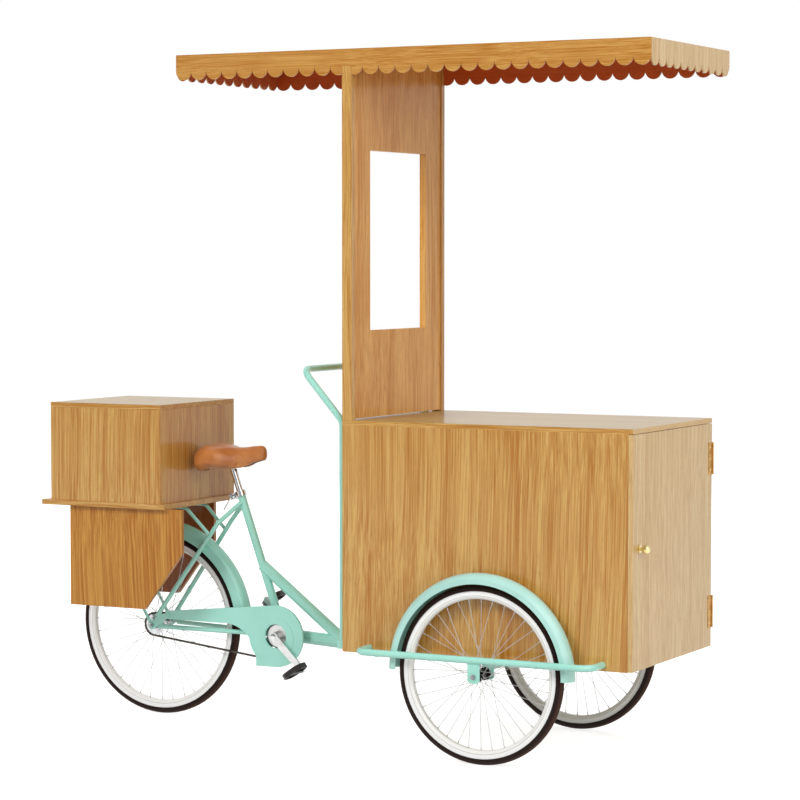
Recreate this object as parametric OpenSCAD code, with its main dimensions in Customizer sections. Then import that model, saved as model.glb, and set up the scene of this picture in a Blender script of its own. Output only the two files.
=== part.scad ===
// Bicycle food cart: a pedal tricycle whose steered front chassis carries a
// wooden serving cabinet, a window column and a canopy with scalloped edges.
// Millimetres, +X forward, +Y to the rider's left, +Z up.
// The origin is on the ground below the steering axis.

/* [Cabinet] */
// Length of the cabinet with its door
cabinet_l = 1155; // [960:1:1390]
// Width of the cabinet, the column and the canopy
cabinet_w = 756; // [630:1:910]
// Height of the cabinet with its worktop
cabinet_h = 855; // [700:1:1030]
// Gap from the steering axis to the rear face of the cabinet
cabinet_gap = 95; // [80:1:120]
// Height of the cabinet's lower edge above the front axle
ride_gap = 38; // [36:1:60]
// Thickness of the cabinet boards
board_t = 18; // [15:1:22]
// Place of the front axle along the cabinet
axle_share = 0.511; // [0.48:0.001:0.54]

/* [Column and canopy] */
// Depth of the column's side stiles
stile_d = 40; // [30:1:60]
// Thickness of the column's side stiles
stile_t = 25; // [18:1:30]
// Thickness of the window panel
panel_t = 25; // [18:1:30]
// Width of the window
window_w = 450; // [300:1:520]
// Height of the window
window_h = 665; // [400:1:800]
// Height of the window above the worktop
window_rise = 327; // [200:1:400]
// Height of the canopy's top above the worktop
canopy_rise = 1357; // [1200:1:1600]
// Length of the canopy
canopy_l = 1928; // [1500:1:2300]
// Canopy overhang in front of the cabinet
canopy_front = 60; // [20:1:150]
// Height of a fascia down to the roots of its scallops
fascia_h = 62; // [40:1:140]
// Thickness of a fascia
fascia_t = 6; // [4:1:20]
// Scallops on a long fascia
side_scallops = 29; // [20:1:40]
// Scallops on a short fascia
end_scallops = 11; // [8:1:16]

/* [Wheels] */
// Front tyre outer diameter
front_wheel_d = 650; // [540:1:720]
// Rear tyre outer diameter
rear_wheel_d = 722; // [600:1:870]
// Tyre section width
tyre_w = 42; // [36:1:46]
// Tyre height above the edge of the rim
tyre_h = 23; // [22:1:30]
// Rim width
rim_w = 34; // [28:1:35]
// Rim depth
rim_depth = 30; // [22:1:36]
// Spokes in a wheel
spoke_n = 36; // [28:4:36]
// Spoke diameter
spoke_d = 2; // [1.8:0.1:2.3]
// Gap from the cabinet side to the middle plane of a front wheel
wheel_gap = 47; // [45:1:70]
// Axle diameter
axle_d = 10; // [8:0.5:12]

/* [Tubes] */
// Side of the square chassis tube
member = 30; // [25:1:40]
// Diameter of the side rails and of the push bar
rail_d = 25; // [20:1:30]
// Bend radius of the side rails
rail_bend = 45; // [35:1:55]
// Wall of the bent tubes
tube_wall = 2; // [1.5:0.5:3]
// Diameter of the main boom
boom_d = 50; // [40:1:56]
// Diameter of the brace from the seat tube to the boom
brace_d = 44; // [36:1:48]
// Diameter of the seat tube
seat_tube_d = 32; // [31:0.5:36]
// Diameter of the seat stays and chain stays
stay_d = 18; // [14:1:20]
// Diameter of the rack tubes
rack_d = 14; // [10:1:16]

/* [Bicycle] */
// Bottom bracket behind the steering axis
bb_back = 371; // [350:1:420]
// Height of the bottom bracket
bb_z = 350; // [330:1:370]
// Backward lean of the seat tube in degrees
seat_lean = 19.7; // [16:0.1:22]
// Length of the seat tube above the bottom bracket
seat_tube_l = 586; // [540:1:640]
// Seat post diameter
post_d = 27.2; // [25:0.1:27.2]
// Seat post shown above the seat tube
post_out = 95; // [60:1:140]
// Crank length
crank_l = 170; // [150:1:175]
// Crank angle below the horizontal at rest
crank_angle = 44; // [0:1:90]
// Teeth on the chainring
ring_teeth = 48; // [44:2:50]
// Teeth on the rear sprocket
sprocket_teeth = 22; // [18:1:24]
// Links in the chain
link_n = 124; // [122:2:128]

/* [Carrier] */
// Rear edge of the shelf behind the steering axis
shelf_back = 1310; // [1250:1:1400]
// Length of the shelf
shelf_l = 567; // [500:1:640]
// Width of the shelf
shelf_w = 564; // [520:1:660]
// Thickness of the shelf
shelf_t = 20; // [15:1:25]
// Height of the shelf above the rear tyre
shelf_gap = 120; // [100:1:180]
// Length of the box on the shelf
box_l = 508; // [400:1:520]
// Width of the box on the shelf
box_w = 550; // [400:1:560]
// Height of the box with its lid
box_h = 384; // [250:1:460]
// Length of a side panel under the shelf
pannier_l = 515; // [400:1:560]
// Height of a side panel under the shelf
pannier_h = 393; // [300:1:420]
// Distance of a side panel's outer face from the shelf's edge
pannier_inset = 23; // [10:1:60]
// Distance the left side panel's front edge is behind the right one's
pannier_back = 160; // [0:1:200]
// Corner cut of a side panel, along and up
pannier_cut = [170, 222];

/* [Hidden] */

$fn = 64;

// Colours
mint = "#9FD9C9";
oak = "#C0924F";
brass_tone = "#C9A24A";
chrome_tone = "#D5D8DA";
rim_tone = "#E9E8E3";
tyre_tone = "#2B2320";
black_tone = "#222222";
leather_tone = "#A85F28";

// Fits
run_fit = 0.05;
slide_fit = 0.1;
loose_fit = 0.3;
seat_gap = 0.2;
overrun = 1;

// Cabinet places
half_w = cabinet_w / 2;
inner_half = half_w - board_t;
front_axle_z = front_wheel_d / 2;
cabinet_z = front_axle_z + ride_gap;
worktop_z = cabinet_z + cabinet_h;
cab_x0 = cabinet_gap;
cab_x1 = cab_x0 + cabinet_l;
door_x = cab_x1 - board_t;
back_inner_x = cab_x0 + board_t;
front_axle_x = cab_x0 + axle_share * cabinet_l;
wheel_y = half_w + wheel_gap;

// Chassis places
skirt = 6;
member_z0 = cabinet_z + skirt;
member_z1 = member_z0 + member;
floor_top_z = member_z1 + board_t;
spine_y_share = 0.476;
spine_y = spine_y_share * half_w;
rear_member_x = cab_x0 - overrun - member;
beam_w = 40;
beam_h = 32;
hanger_offset = 60;
hanger_t = 5;
hanger_w = 47;
hanger_foot = 24;
hanger_cut = 8;
hanger_neck_share = 0.9;

// Fender and side rail places
fender_gap = 41;
fender_w = 70;
fender_depth = 38;
fender_arc = 40;
fender_t = 1.6;
fender_lug_d = 12;
fender_r = front_wheel_d / 2 + fender_gap;
rail_y = wheel_y + hanger_offset;
rail_z = member_z0 + member / 2;
fender_front_x = front_axle_x + fender_r;
fender_back_x = front_axle_x - fender_r;
leg_front_share = 0.47;
leg_rear_share = 0.46;
leg_front_x = fender_front_x + leg_front_share * (door_x - fender_front_x);
leg_rear_x = back_inner_x + leg_rear_share * (fender_back_x - back_inner_x);

// Steering head
head_d = 60;
head_up = 87;
head_down = 26;
boom_drop = 19;
boom_z = bb_z - boom_drop;
head_z0 = boom_z - head_down;
head_z1 = boom_z + head_up;
lug_t = 8;
lug_r = 34;
lug_gap = 1;
web_t = 12;
web_w = 90;
gusset_t = 12;
gusset_l = 110;
king_pin_d = 20;
king_head_d = 32;
king_head_h = 12;
bush_d = 34;
bush_l = 30;
bush_flange_d = 46;
bush_flange_t = 0.7;

// Push bar
bar_inset = 33;
bar_back = 90;
bar_rise = 182;
bar_knee_drop = 8;
bar_top_z = worktop_z + bar_rise;
bar_knee_z = worktop_z - bar_knee_drop;
bar_bend = 45;

// Wheel details
rim_wall = 2.5;
rim_channel = 9;
rim_crown = 16;
rim_knee_share = 0.5;
tread_groove_w = 2;
tread_groove_h = 1.5;
tread_groove_y = 6;
hub_barrel_r = 15;
hub_flange_r = 24;
hub_flange_t = 3;
hub_flange_y = 31;
hub_half = 44;
hub_end_r = 13;
spoke_hole_r = 20.5;
spoke_lean = 60;
spoke_rim_y = 3;
spoke_flare = 1.2;
cone_r = 9;
nut_flat = 17;
nut_t = 8;
nut_faces = 6;
axle_tip = 4;

// Rear wheel and drop-outs
drop_y = 67.5;
drop_t = 5;
drop_r = 18;
rear_hub_half = 57;
rear_boss_r = 15;
rear_axle_z = rear_wheel_d / 2;

// Chain drive
chain_y = -50;
roller_d = 7.75;
roller_fit = 0.3;
inner_gap = 3.3;
plate_t = 1;
plate_h = 8.4;
pitch = 12.7;
waist_share = 0.76;
link_pin_d = 3.6;
bush_out_share = 0.15;
pin_out = 0.4;
tooth_t = 2.6;
tooth_tip_w = 2.6;
tooth_tip_share = 0.25;
ring_r = ring_teeth * pitch / (2 * PI);
sprocket_r = sprocket_teeth * pitch / (2 * PI);

// Length of the chain loop for a distance between the two axles
function loop_length(c) =
    let (a = acos((ring_r - sprocket_r) / c), k = PI / 180)
    2 * c * sin(a) + sprocket_r * 2 * a * k + ring_r * (360 - 2 * a) * k;

// Axle distance that the link count asks for, by repeated correction
function axle_distance(c, n) =
    n == 0 ? c : axle_distance(c + (link_n * pitch - loop_length(c)) / 2, n - 1);

wrap_steps = 12;
first_guess = (link_n - ring_teeth) * pitch / 2;
stay_l = axle_distance(first_guess, wrap_steps);
bb_x = -bb_back;
axle_rise = rear_axle_z - bb_z;
rear_axle_x = bb_x - sqrt(stay_l * stay_l - axle_rise * axle_rise);
wrap_a = acos((ring_r - sprocket_r) / stay_l);
straight_l = stay_l * sin(wrap_a);

// Point on the chain loop at a length along it from the upper ring tangent
function loop_point(s) =
    let (
        k = 180 / PI,
        arc_l = sprocket_r * 2 * wrap_a / k,
        n = [cos(wrap_a), sin(wrap_a)],
        m = [cos(wrap_a), -sin(wrap_a)],
        far = [stay_l, 0]
    )
    s <= straight_l ? ring_r * n + (far + (sprocket_r - ring_r) * n) * s / straight_l :
    s <= straight_l + arc_l ?
        let (a = wrap_a - (s - straight_l) / sprocket_r * k)
        far + sprocket_r * [cos(a), sin(a)] :
    s <= 2 * straight_l + arc_l ?
        let (f = (s - straight_l - arc_l) / straight_l)
        far + sprocket_r * m + ((ring_r - sprocket_r) * m - far) * f :
        let (a = -wrap_a - (s - 2 * straight_l - arc_l) / ring_r * k)
        ring_r * [cos(a), sin(a)];

first_joint = ceil(straight_l / pitch);
sprocket_phase = wrap_a - (first_joint * pitch - straight_l) / sprocket_r * 180 / PI;

// Cranks, pedals and bottom bracket
shell_d = 42;
shell_half = 35;
cup_d = 34;
cup_l = 18;
cup_flange_d = 40;
cup_flange_t = 3;
spindle_d = 17;
crank_y0 = 74;
crank_t = 12;
crank_boss_d = 36;
crank_end_d = 28;
crank_neck_share = 0.86;
carrier_d = 84;
carrier_t = 4;
ring_bore_d = 24;
ring_window_n = 5;
ring_window_d = 34;
ring_window_share = 0.66;
pedal_pin_d = 9;
pedal_gap = 6;
pedal_w = 80;
pedal_l = 94;
pedal_h = 20;
pedal_tube_d = 20;
pedal_bar = 8;
pedal_end = 7;
pedal_cut = 20;
pedal_cut_in = 13;
pedal_tilt = 35;

// Chain guard
guard_y = 64.5;
guard_t = 2;
guard_r = 120;
guard_hole_r = 46;
guard_lip = 8;
guard_band = 48;
guard_sill = 34;
guard_emboss = 1.5;
guard_foot = 94;
guard_arm_back = 58;
guard_arm_z = [26, 58];
guard_hollow = [228, 102];
guard_hollow_r = 140;
guard_post_d = 8;
guard_post_x = 116;
guard_bolt_d = 8;
guard_bolt_in = 12;
guard_bolt = [guard_arm_back + guard_bolt_in, (guard_arm_z[0] + guard_arm_z[1]) / 2];
guard_ear_r = 10;

// Frame places
stay_root_y = 24;
stay_end_y = drop_y + drop_t / 2;
chain_stay_end = [32, -4];
seat_stay_end = [24, 38];
stay_knee = [269, 125];
stay_knee_y = 50;
stay_top_drop = 44;
stay_top_y = 12;
brace_up = 265;
brace_end_x = -90;
seat_axis_dir = [-sin(seat_lean), 0, cos(seat_lean)];
bb_point = [bb_x, 0, bb_z];
seat_top = bb_point + seat_tube_l * seat_axis_dir;
bore_depth = 240;
post_in = 170;

// Rear fender
rear_fender_gap = 54;
rear_fender_w = 64;
rear_fender_depth = 53;
rear_fender_r = rear_wheel_d / 2 + rear_fender_gap;
rear_fender_from = 12;
rear_fender_to = 150;
fender_strap_w = 20;
fender_strap_t = 3;

// Carrier places
shelf_z0 = rear_wheel_d + shelf_gap;
shelf_z1 = shelf_z0 + shelf_t;
shelf_x0 = -shelf_back;
shelf_x1 = shelf_x0 + shelf_l;
box_t = 16;
box_set = 40;
box_x0 = shelf_x0 + box_set;
box_x1 = box_x0 + box_l;
lid_t = 18;
lid_gap = 0.5;
lid_z = shelf_z1 + box_h - lid_t;
pannier_t = 18;
pannier_lead = 66;
pannier_x1 = shelf_x1 + pannier_lead;
pannier_x0 = pannier_x1 - pannier_l;
pannier_y = shelf_w / 2 - pannier_inset;
rack_y = 75;
rack_z = shelf_z0 - rack_d / 2 - seat_gap;
rack_bend = 40;
rack_front_in = 30;
rack_rear_in = 60;
rack_front_x = shelf_x1 - rack_front_in;
rack_rear_x = shelf_x0 + rack_rear_in;
rack_cross_shares = [0.12, 0.5, 0.97];
strut_d = 12;
strut_start = 34;
strut_top_share = 0.93;
eyelet_d = 26;
eyelet_t = 3;

// Hinges and knob
knuckle_r = 3.2;
hinge_pin_r = 1.5;
leaf_t = 2;
leaf_w = 34;
leaf_clear = 0.6;
hinge_h = 120;
hinge_in_share = 0.165;
knuckle_n = 5;
lid_hinge_h = 60;
lid_leaf_w = 17;
lid_hinge_share = 0.64;
knob_d = 32;
knob_l = 43;
knob_neck_d = 12;
knob_foot_d = 30;
knob_foot_t = 6;
knob_in_share = 0.146;
knob_z_share = 0.505;
door_gap = 0.5;
door_shadow = 2;

// Saddle
saddle_l = 286;
saddle_w = 196;
saddle_nose_w = 62;
saddle_h = 78;
saddle_nose_h = 40;
saddle_dip = 12;
saddle_front = 156;
saddle_top_rise = 68;
saddle_steps = 28;
saddle_ring = 18;
saddle_room = 4;
nose_gap = 1;
saddle_rail_d = 7;
saddle_rail_y = 22;
saddle_clamp = [42, 58, 20];
clamp_od = 44;
clamp_h = 22;
clamp_ear = [30, 16];
skewer_d = 6;
skewer_nut_d = 15;
skewer_nut_t = 8;
skewer_back = clamp_od / 2 + skewer_nut_d / 2 + loose_fit;
lever_d = 7;
lever_l = 62;
lever_hub_d = 16;
lever_drop = 57;

// Shared shapes

// A block between two corners
module board(lo, hi) {
    translate(lo) cube(hi - lo);
}

// The children and their mirror image across the centre plane
module both_sides() {
    children();
    mirror([0, 1, 0]) children();
}

// Local z turned to run along +Y
module along_y() {
    rotate([-90, 0, 0]) children();
}

// Local y turned up and local z turned to the rider's right
module upright() {
    rotate([90, 0, 0]) children();
}

function unit(v) = v / norm(v);

// A round bar between two points
module rod(a, b, d) {
    v = b - a;
    translate(a)
        rotate([0, acos(v.z / norm(v)), atan2(v.y, v.x)])
            cylinder(h = norm(v), d = d);
}

// Length that a bend takes from each of its straights
function trim_at(p, i, r) =
    i == 0 || i == len(p) - 1 ? 0 :
    r * tan(acos(unit(p[i] - p[i - 1]) * unit(p[i + 1] - p[i])) / 2);

// A bend at the corner b of a path from a through b to c, a little fuller than its straights
module elbow(a, b, c, d, r) {
    u = unit(b - a);
    v = unit(c - b);
    turn = acos(u * v);
    m = unit(v - (v * u) * u);
    w = cross(-m, u);
    o = b - u * r * tan(turn / 2) + m * r;
    multmatrix([
        [-m.x, u.x, w.x, o.x],
        [-m.y, u.y, w.y, o.y],
        [-m.z, u.z, w.z, o.z]
    ])
        rotate_extrude(angle = turn) translate([r, 0]) circle(d = d + 2 * run_fit);
}

// A solid bar along a path of points with round bends
module bent_bar(p, d, r) {
    for (i = [0 : len(p) - 2]) {
        u = unit(p[i + 1] - p[i]);
        lap_in = i == 0 ? 0 : overrun;
        lap_out = i == len(p) - 2 ? 0 : overrun;
        rod(p[i] + u * (trim_at(p, i, r) - lap_in),
            p[i + 1] - u * (trim_at(p, i + 1, r) - lap_out), d);
    }
    if (len(p) > 2)
        for (i = [1 : len(p) - 2])
            elbow(p[i - 1], p[i], p[i + 1], d, r);
}

// The path with both ends drawn out by a length
function drawn_out(p, e) = [
    for (i = [0 : len(p) - 1])
        i == 0 ? p[0] - e * unit(p[1] - p[0]) :
        i == len(p) - 1 ? p[i] + e * unit(p[i] - p[i - 1]) : p[i]
];

// A tube along a path of points with round bends
module bent_tube(p, d, r) {
    difference() {
        bent_bar(p, d, r);
        bent_bar(drawn_out(p, overrun), d - 2 * tube_wall, r);
    }
}

// A hexagon nut along +Y with a clear bore
module nut(flat, t, bore) {
    along_y()
        difference() {
            cylinder(h = t, d = flat / cos(180 / nut_faces), $fn = nut_faces);
            translate([0, 0, -overrun])
                cylinder(h = t + 2 * overrun, d = bore);
        }
}

// Wheel pieces, each about the Y axis

module tyre(d) {
    rim_r = d / 2 - tyre_h;
    color(tyre_tone)
        along_y()
            rotate_extrude() {
                difference() {
                    translate([d / 2 - tyre_w / 2, 0]) circle(d = tyre_w);
                    translate([0, -tyre_w])
                        square([rim_r + loose_fit, 2 * tyre_w]);
                    for (s = [-1, 1])
                        translate([d / 2 - tyre_w, s * tread_groove_y - tread_groove_w / 2])
                            translate([tyre_w - 2 * tread_groove_h, 0])
                                square([tyre_w, tread_groove_w]);
                }
                foot = rim_w / 2 - rim_wall - seat_gap;
                translate([rim_r - rim_channel + seat_gap, -foot])
                    square([rim_channel + overrun, 2 * foot]);
            }
}

module rim(d) {
    r = d / 2 - tyre_h;
    w = rim_w / 2;
    color(rim_tone)
        along_y()
            rotate_extrude()
                polygon([
                    [r, w], [r, w - rim_wall],
                    [r - rim_channel, w - rim_wall], [r - rim_channel, rim_wall - w],
                    [r, rim_wall - w], [r, -w],
                    [r - rim_knee_share * rim_depth, -w],
                    [r - rim_depth, -rim_crown / 2], [r - rim_depth, rim_crown / 2],
                    [r - rim_knee_share * rim_depth, w]
                ]);
}

module spokes(d) {
    r = d / 2 - tyre_h - rim_depth - seat_gap;
    step = 360 / spoke_n;
    inner_lay = hub_flange_t / 2 + spoke_d / 2 + seat_gap;
    color(chrome_tone)
        for (s = [-1, 1])
            for (j = [0 : spoke_n / 2 - 1]) {
                turn = j % 2 == 0 ? 1 : -1;
                lay = turn < 0 ? inner_lay : inner_lay + spoke_flare;
                a = step * (2 * j + (s + 1) / 2);
                h = a + turn * spoke_lean;
                rod([spoke_hole_r * cos(h), s * (hub_flange_y + turn * lay), spoke_hole_r * sin(h)],
                    [r * cos(a), s * spoke_rim_y, r * sin(a)], spoke_d);
            }
}

// Outline of one end of a hub, from its barrel out to its bore
function hub_outline(half, end_r, s) = [
    [hub_barrel_r, s * (hub_flange_y - hub_flange_t / 2)],
    [hub_flange_r, s * (hub_flange_y - hub_flange_t / 2)],
    [hub_flange_r, s * (hub_flange_y + hub_flange_t / 2)],
    [end_r, s * (hub_flange_y + hub_flange_t / 2)],
    [end_r, s * half],
    [axle_d / 2 + run_fit, s * half]
];

function reversed(p) = [for (i = [len(p) - 1 : -1 : 0]) p[i]];

module hub(half, right_r, left_r) {
    color(chrome_tone)
        along_y()
            rotate_extrude()
                polygon(concat(hub_outline(half, left_r, 1), reversed(hub_outline(half, right_r, -1))));
}

// Fixed axle with its cones and its two nuts
module axle(half, cone_from, cone_to, nut_at) {
    color(chrome_tone) {
        along_y() {
            translate([0, 0, -half]) cylinder(h = 2 * half, d = axle_d);
            for (s = [0, 1])
                mirror([0, 0, s])
                    translate([0, 0, cone_from])
                        cylinder(h = cone_to - cone_from, r = cone_r);
        }
        both_sides()
            translate([0, nut_at, 0]) nut(nut_flat, nut_t, axle_d + 2 * run_fit);
    }
}

module at_front_wheel(s) {
    translate([front_axle_x, s * wheel_y, front_axle_z]) children();
}

module at_rear_axle() {
    translate([rear_axle_x, 0, rear_axle_z]) children();
}

module tyre_front_right() { at_front_wheel(-1) tyre(front_wheel_d); }

module tyre_front_left() { at_front_wheel(1) tyre(front_wheel_d); }

module rim_front_right() { at_front_wheel(-1) rim(front_wheel_d); }

module rim_front_left() { at_front_wheel(1) rim(front_wheel_d); }

module spokes_front_right() { at_front_wheel(-1) spokes(front_wheel_d); }

module spokes_front_left() { at_front_wheel(1) spokes(front_wheel_d); }

module hub_front_right() { at_front_wheel(-1) hub(hub_half, hub_end_r, hub_end_r); }

module hub_front_left() { at_front_wheel(1) hub(hub_half, hub_end_r, hub_end_r); }

module tyre_rear() { at_rear_axle() tyre(rear_wheel_d); }

module rim_rear() { at_rear_axle() rim(rear_wheel_d); }

module spokes_rear() { at_rear_axle() spokes(rear_wheel_d); }

module hub_rear() { at_rear_axle() hub(rear_hub_half, rear_boss_r, hub_end_r); }

module front_axles() {
    hanger_in = hanger_offset - hanger_t / 2;
    hanger_out = hanger_offset + hanger_t / 2;
    for (s = [-1, 1])
        at_front_wheel(s)
            axle(hanger_out + nut_t + axle_tip, hub_half + loose_fit, hanger_in, hanger_out);
}

module rear_axle() {
    nut_at = drop_y + drop_t + eyelet_t;
    at_rear_axle()
        axle(nut_at + nut_t + axle_tip, rear_hub_half + loose_fit, drop_y, nut_at);
}

// Front chassis

// A hanger plate about the axle with cut lower corners, up to a height
module hanger(y, top_z) {
    w = hanger_w / 2;
    top = top_z - front_axle_z;
    translate([front_axle_x, y + hanger_t / 2, front_axle_z])
        upright()
            linear_extrude(hanger_t)
                polygon([
                    [-w, top], [-w, hanger_cut - hanger_foot], [hanger_cut - w, -hanger_foot],
                    [w - hanger_cut, -hanger_foot], [w, hanger_cut - hanger_foot], [w, top]
                ]);
}

module axle_hole(y) {
    translate([front_axle_x, y - hanger_t, front_axle_z])
        along_y() cylinder(h = 2 * hanger_t, d = axle_d + loose_fit);
}

module cross_member(x) {
    board([x - member / 2, -inner_half + seat_gap, member_z0],
        [x + member / 2, inner_half - seat_gap, member_z1]);
}

// A flat steering lug around the king pin
module lug(z) {
    translate([0, 0, z])
        linear_extrude(lug_t) {
            circle(r = lug_r);
            neck = hanger_neck_share * lug_r;
            translate([0, -neck]) square([rear_member_x, 2 * neck]);
        }
}

module chassis() {
    low_z = head_z0 - lug_gap - lug_t;
    high_z = head_z1 + lug_gap;
    web_z0 = min(low_z, member_z0);
    web_z1 = max(high_z + lug_t, member_z1);
    inner_y = wheel_y - hanger_offset;
    color(mint)
        difference() {
            union() {
                board([rear_member_x, -inner_half, member_z0],
                    [rear_member_x + member, inner_half, member_z1]);
                for (s = [-1, 0, 1])
                    board([rear_member_x, s * spine_y - member / 2, member_z0],
                        [s == 0 ? leg_rear_x : leg_front_x, s * spine_y + member / 2, member_z1]);
                cross_member(leg_rear_x);
                cross_member(leg_front_x);
                board([front_axle_x - beam_w / 2, hanger_t / 2 - inner_y, member_z0 - beam_h],
                    [front_axle_x + beam_w / 2, inner_y - hanger_t / 2, cabinet_z - seat_gap]);
                board([front_axle_x - beam_w / 2, seat_gap - inner_half, member_z0 - beam_h],
                    [front_axle_x + beam_w / 2, inner_half - seat_gap, member_z0]);
                for (s = [-1, 1])
                    hanger(s * inner_y, cabinet_z - seat_gap);
                board([rear_member_x - web_t, -web_w / 2, web_z0],
                    [rear_member_x, web_w / 2, web_z1]);
                lug(low_z);
                lug(high_z);
                translate([rear_member_x, gusset_t / 2, 0])
                    upright()
                        linear_extrude(gusset_t)
                            polygon([[0, low_z], [gusset_l, member_z0], [0, member_z0]]);
            }
            for (s = [-1, 1])
                axle_hole(s * inner_y);
            translate([0, 0, low_z - overrun])
                cylinder(h = web_z1 - web_z0 + 2 * overrun, d = king_pin_d + 2 * run_fit);
        }
}

module side_rail(s) {
    leg_y = inner_half;
    path = [
        [leg_rear_x, s * leg_y, rail_z], [leg_rear_x, s * rail_y, rail_z],
        [leg_front_x, s * rail_y, rail_z], [leg_front_x, s * leg_y, rail_z]
    ];
    color(mint)
        difference() {
            union() {
                bent_bar(path, rail_d, rail_bend);
                hanger(s * rail_y, rail_z);
            }
            bent_bar(drawn_out(path, overrun), rail_d - 2 * tube_wall, rail_bend);
            axle_hole(s * rail_y);
        }
}

module side_rail_right() { side_rail(-1); }

module side_rail_left() { side_rail(1); }

module king_pin() {
    low_z = head_z0 - lug_gap - lug_t;
    high_z = head_z1 + lug_gap + lug_t;
    color(chrome_tone) {
        translate([0, 0, low_z]) cylinder(h = high_z - low_z, d = king_pin_d);
        translate([0, 0, high_z])
            cylinder(h = king_head_h, d = king_head_d, $fn = nut_faces);
    }
}

module push_bar() {
    x = rear_member_x + member / 2;
    y = half_w - bar_inset;
    foot_z = member_z1 + seat_gap;
    path = [
        [x, -y, foot_z], [x, -y, bar_knee_z], [-bar_back, -y, bar_top_z],
        [-bar_back, y, bar_top_z], [x, y, bar_knee_z], [x, y, foot_z]
    ];
    color(mint) bent_tube(path, rail_d, bar_bend);
}

// Depth of a fender's rolled crown at half its width
function crown_depth(w) = fender_arc - sqrt(fender_arc * fender_arc - w * w / 4);

// Cross-section of a fender, its crown outwards at a radius, with a skirt on each side
module fender_band(r, w, depth) {
    crown = crown_depth(w);
    translate([r - fender_arc, 0])
        intersection() {
            difference() {
                circle(r = fender_arc);
                circle(r = fender_arc - fender_t);
            }
            translate([0, -w / 2]) square([fender_arc + overrun, w]);
        }
    for (y = [-w / 2, w / 2 - fender_t])
        translate([r - depth, y]) square([depth - crown, fender_t]);
}

module front_fender(s) {
    lug_x = sqrt(pow(fender_r - fender_t, 2) - pow(rail_z - front_axle_z, 2));
    edge = fender_w / 2;
    outer = rail_y - rail_d / 2 - seat_gap - wheel_y;
    inner = wheel_gap - seat_gap;
    drop = (crown_depth(fender_w) + fender_depth) / 2;
    color(mint)
        at_front_wheel(s) {
            upright() rotate_extrude(angle = 180) fender_band(fender_r, fender_w, fender_depth);
            for (side = [-1, 1])
                translate([side * (lug_x - drop), s * (edge - fender_lug_d / 2), rail_z - front_axle_z])
                    rotate([-90 * s, 0, 0])
                        cylinder(h = outer - edge + fender_lug_d / 2, d = fender_lug_d);
            for (side = [-1, 1])
                translate([side * (lug_x - drop), s * (fender_lug_d / 2 - edge), rail_z - front_axle_z])
                    rotate([90 * s, 0, 0])
                        cylinder(h = inner - edge + fender_lug_d / 2, d = fender_lug_d);
        }
}

module fender_right() { front_fender(-1); }

module fender_left() { front_fender(1); }

// Cabinet

module cabinet_side(s) {
    color(oak)
        difference() {
            board([cab_x0, s > 0 ? inner_half : -half_w, cabinet_z],
                [door_x - door_gap, s > 0 ? half_w : -inner_half, worktop_z - board_t]);
            for (x = [leg_rear_x, leg_front_x])
                translate([x, s * half_w - board_t - overrun, rail_z])
                    along_y() cylinder(h = 2 * (board_t + overrun), d = rail_d + 2 * loose_fit);
        }
}

module cabinet_side_right() { cabinet_side(-1); }

module cabinet_side_left() { cabinet_side(1); }

module cabinet_back() {
    color(oak)
        board([cab_x0, -inner_half, floor_top_z], [back_inner_x, inner_half, worktop_z - board_t]);
}

module cabinet_floor() {
    color(oak)
        board([cab_x0, -inner_half, member_z1], [door_x - door_gap, inner_half, floor_top_z]);
}

module worktop() {
    color(oak)
        board([cab_x0, -half_w, worktop_z - board_t], [cab_x1, half_w, worktop_z]);
}

knob_y = knob_in_share * half_w - half_w;
knob_z = cabinet_z + knob_z_share * cabinet_h;

module door() {
    color(oak)
        difference() {
            board([door_x, -half_w, cabinet_z + door_shadow],
                [cab_x1, half_w, worktop_z - board_t - door_shadow]);
            translate([door_x - overrun, knob_y, knob_z])
                rotate([0, 90, 0])
                    cylinder(h = board_t + 2 * overrun, d = knob_neck_d + 2 * run_fit);
        }
}

module door_knob() {
    r = knob_d / 2;
    color(brass_tone)
        translate([door_x, knob_y, knob_z])
            rotate([0, 90, 0])
                rotate_extrude() {
                    square([knob_neck_d / 2, board_t + knob_l / 2]);
                    translate([0, board_t]) square([knob_foot_d / 2, knob_foot_t]);
                    translate([0, board_t + knob_l - r])
                        intersection() {
                            circle(r = r);
                            translate([0, -r / 2]) square([r + overrun, 2 * r]);
                        }
                }
}

// One leaf of a hinge about local z: a plate towards -x and its own knuckles
module hinge_leaf(h, w, own, pin) {
    seg = h / knuckle_n;
    face = knuckle_r + seat_gap;
    translate([0, 0, -h / 2]) {
        difference() {
            union() {
                translate([-face - w, -face, 0])
                    cube([w - leaf_clear, leaf_t, h]);
                for (k = [own : 2 : knuckle_n - 1]) {
                    translate([-face - w, -face, k * seg + seat_gap / 2])
                        cube([face + w, leaf_t, seg - seat_gap]);
                    translate([0, 0, k * seg + seat_gap / 2])
                        cylinder(h = seg - seat_gap, r = knuckle_r);
                }
            }
            translate([0, 0, -overrun])
                cylinder(h = h + 2 * overrun, r = hinge_pin_r + run_fit);
        }
        if (pin)
            cylinder(h = h, r = hinge_pin_r);
    }
}

// The places of the two door hinges
module at_door_hinges() {
    off = knuckle_r + seat_gap;
    for (f = [hinge_in_share, 1 - hinge_in_share])
        translate([cab_x1 + off, half_w + off, cabinet_z + f * cabinet_h - board_t / 2])
            children();
}

module door_hinge_frames() {
    color(brass_tone) at_door_hinges() hinge_leaf(hinge_h, leaf_w, 0, true);
}

module door_hinge_leaves() {
    color(brass_tone)
        at_door_hinges() mirror([1, -1, 0]) hinge_leaf(hinge_h, leaf_w, 1, false);
}

// Column and canopy

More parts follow.
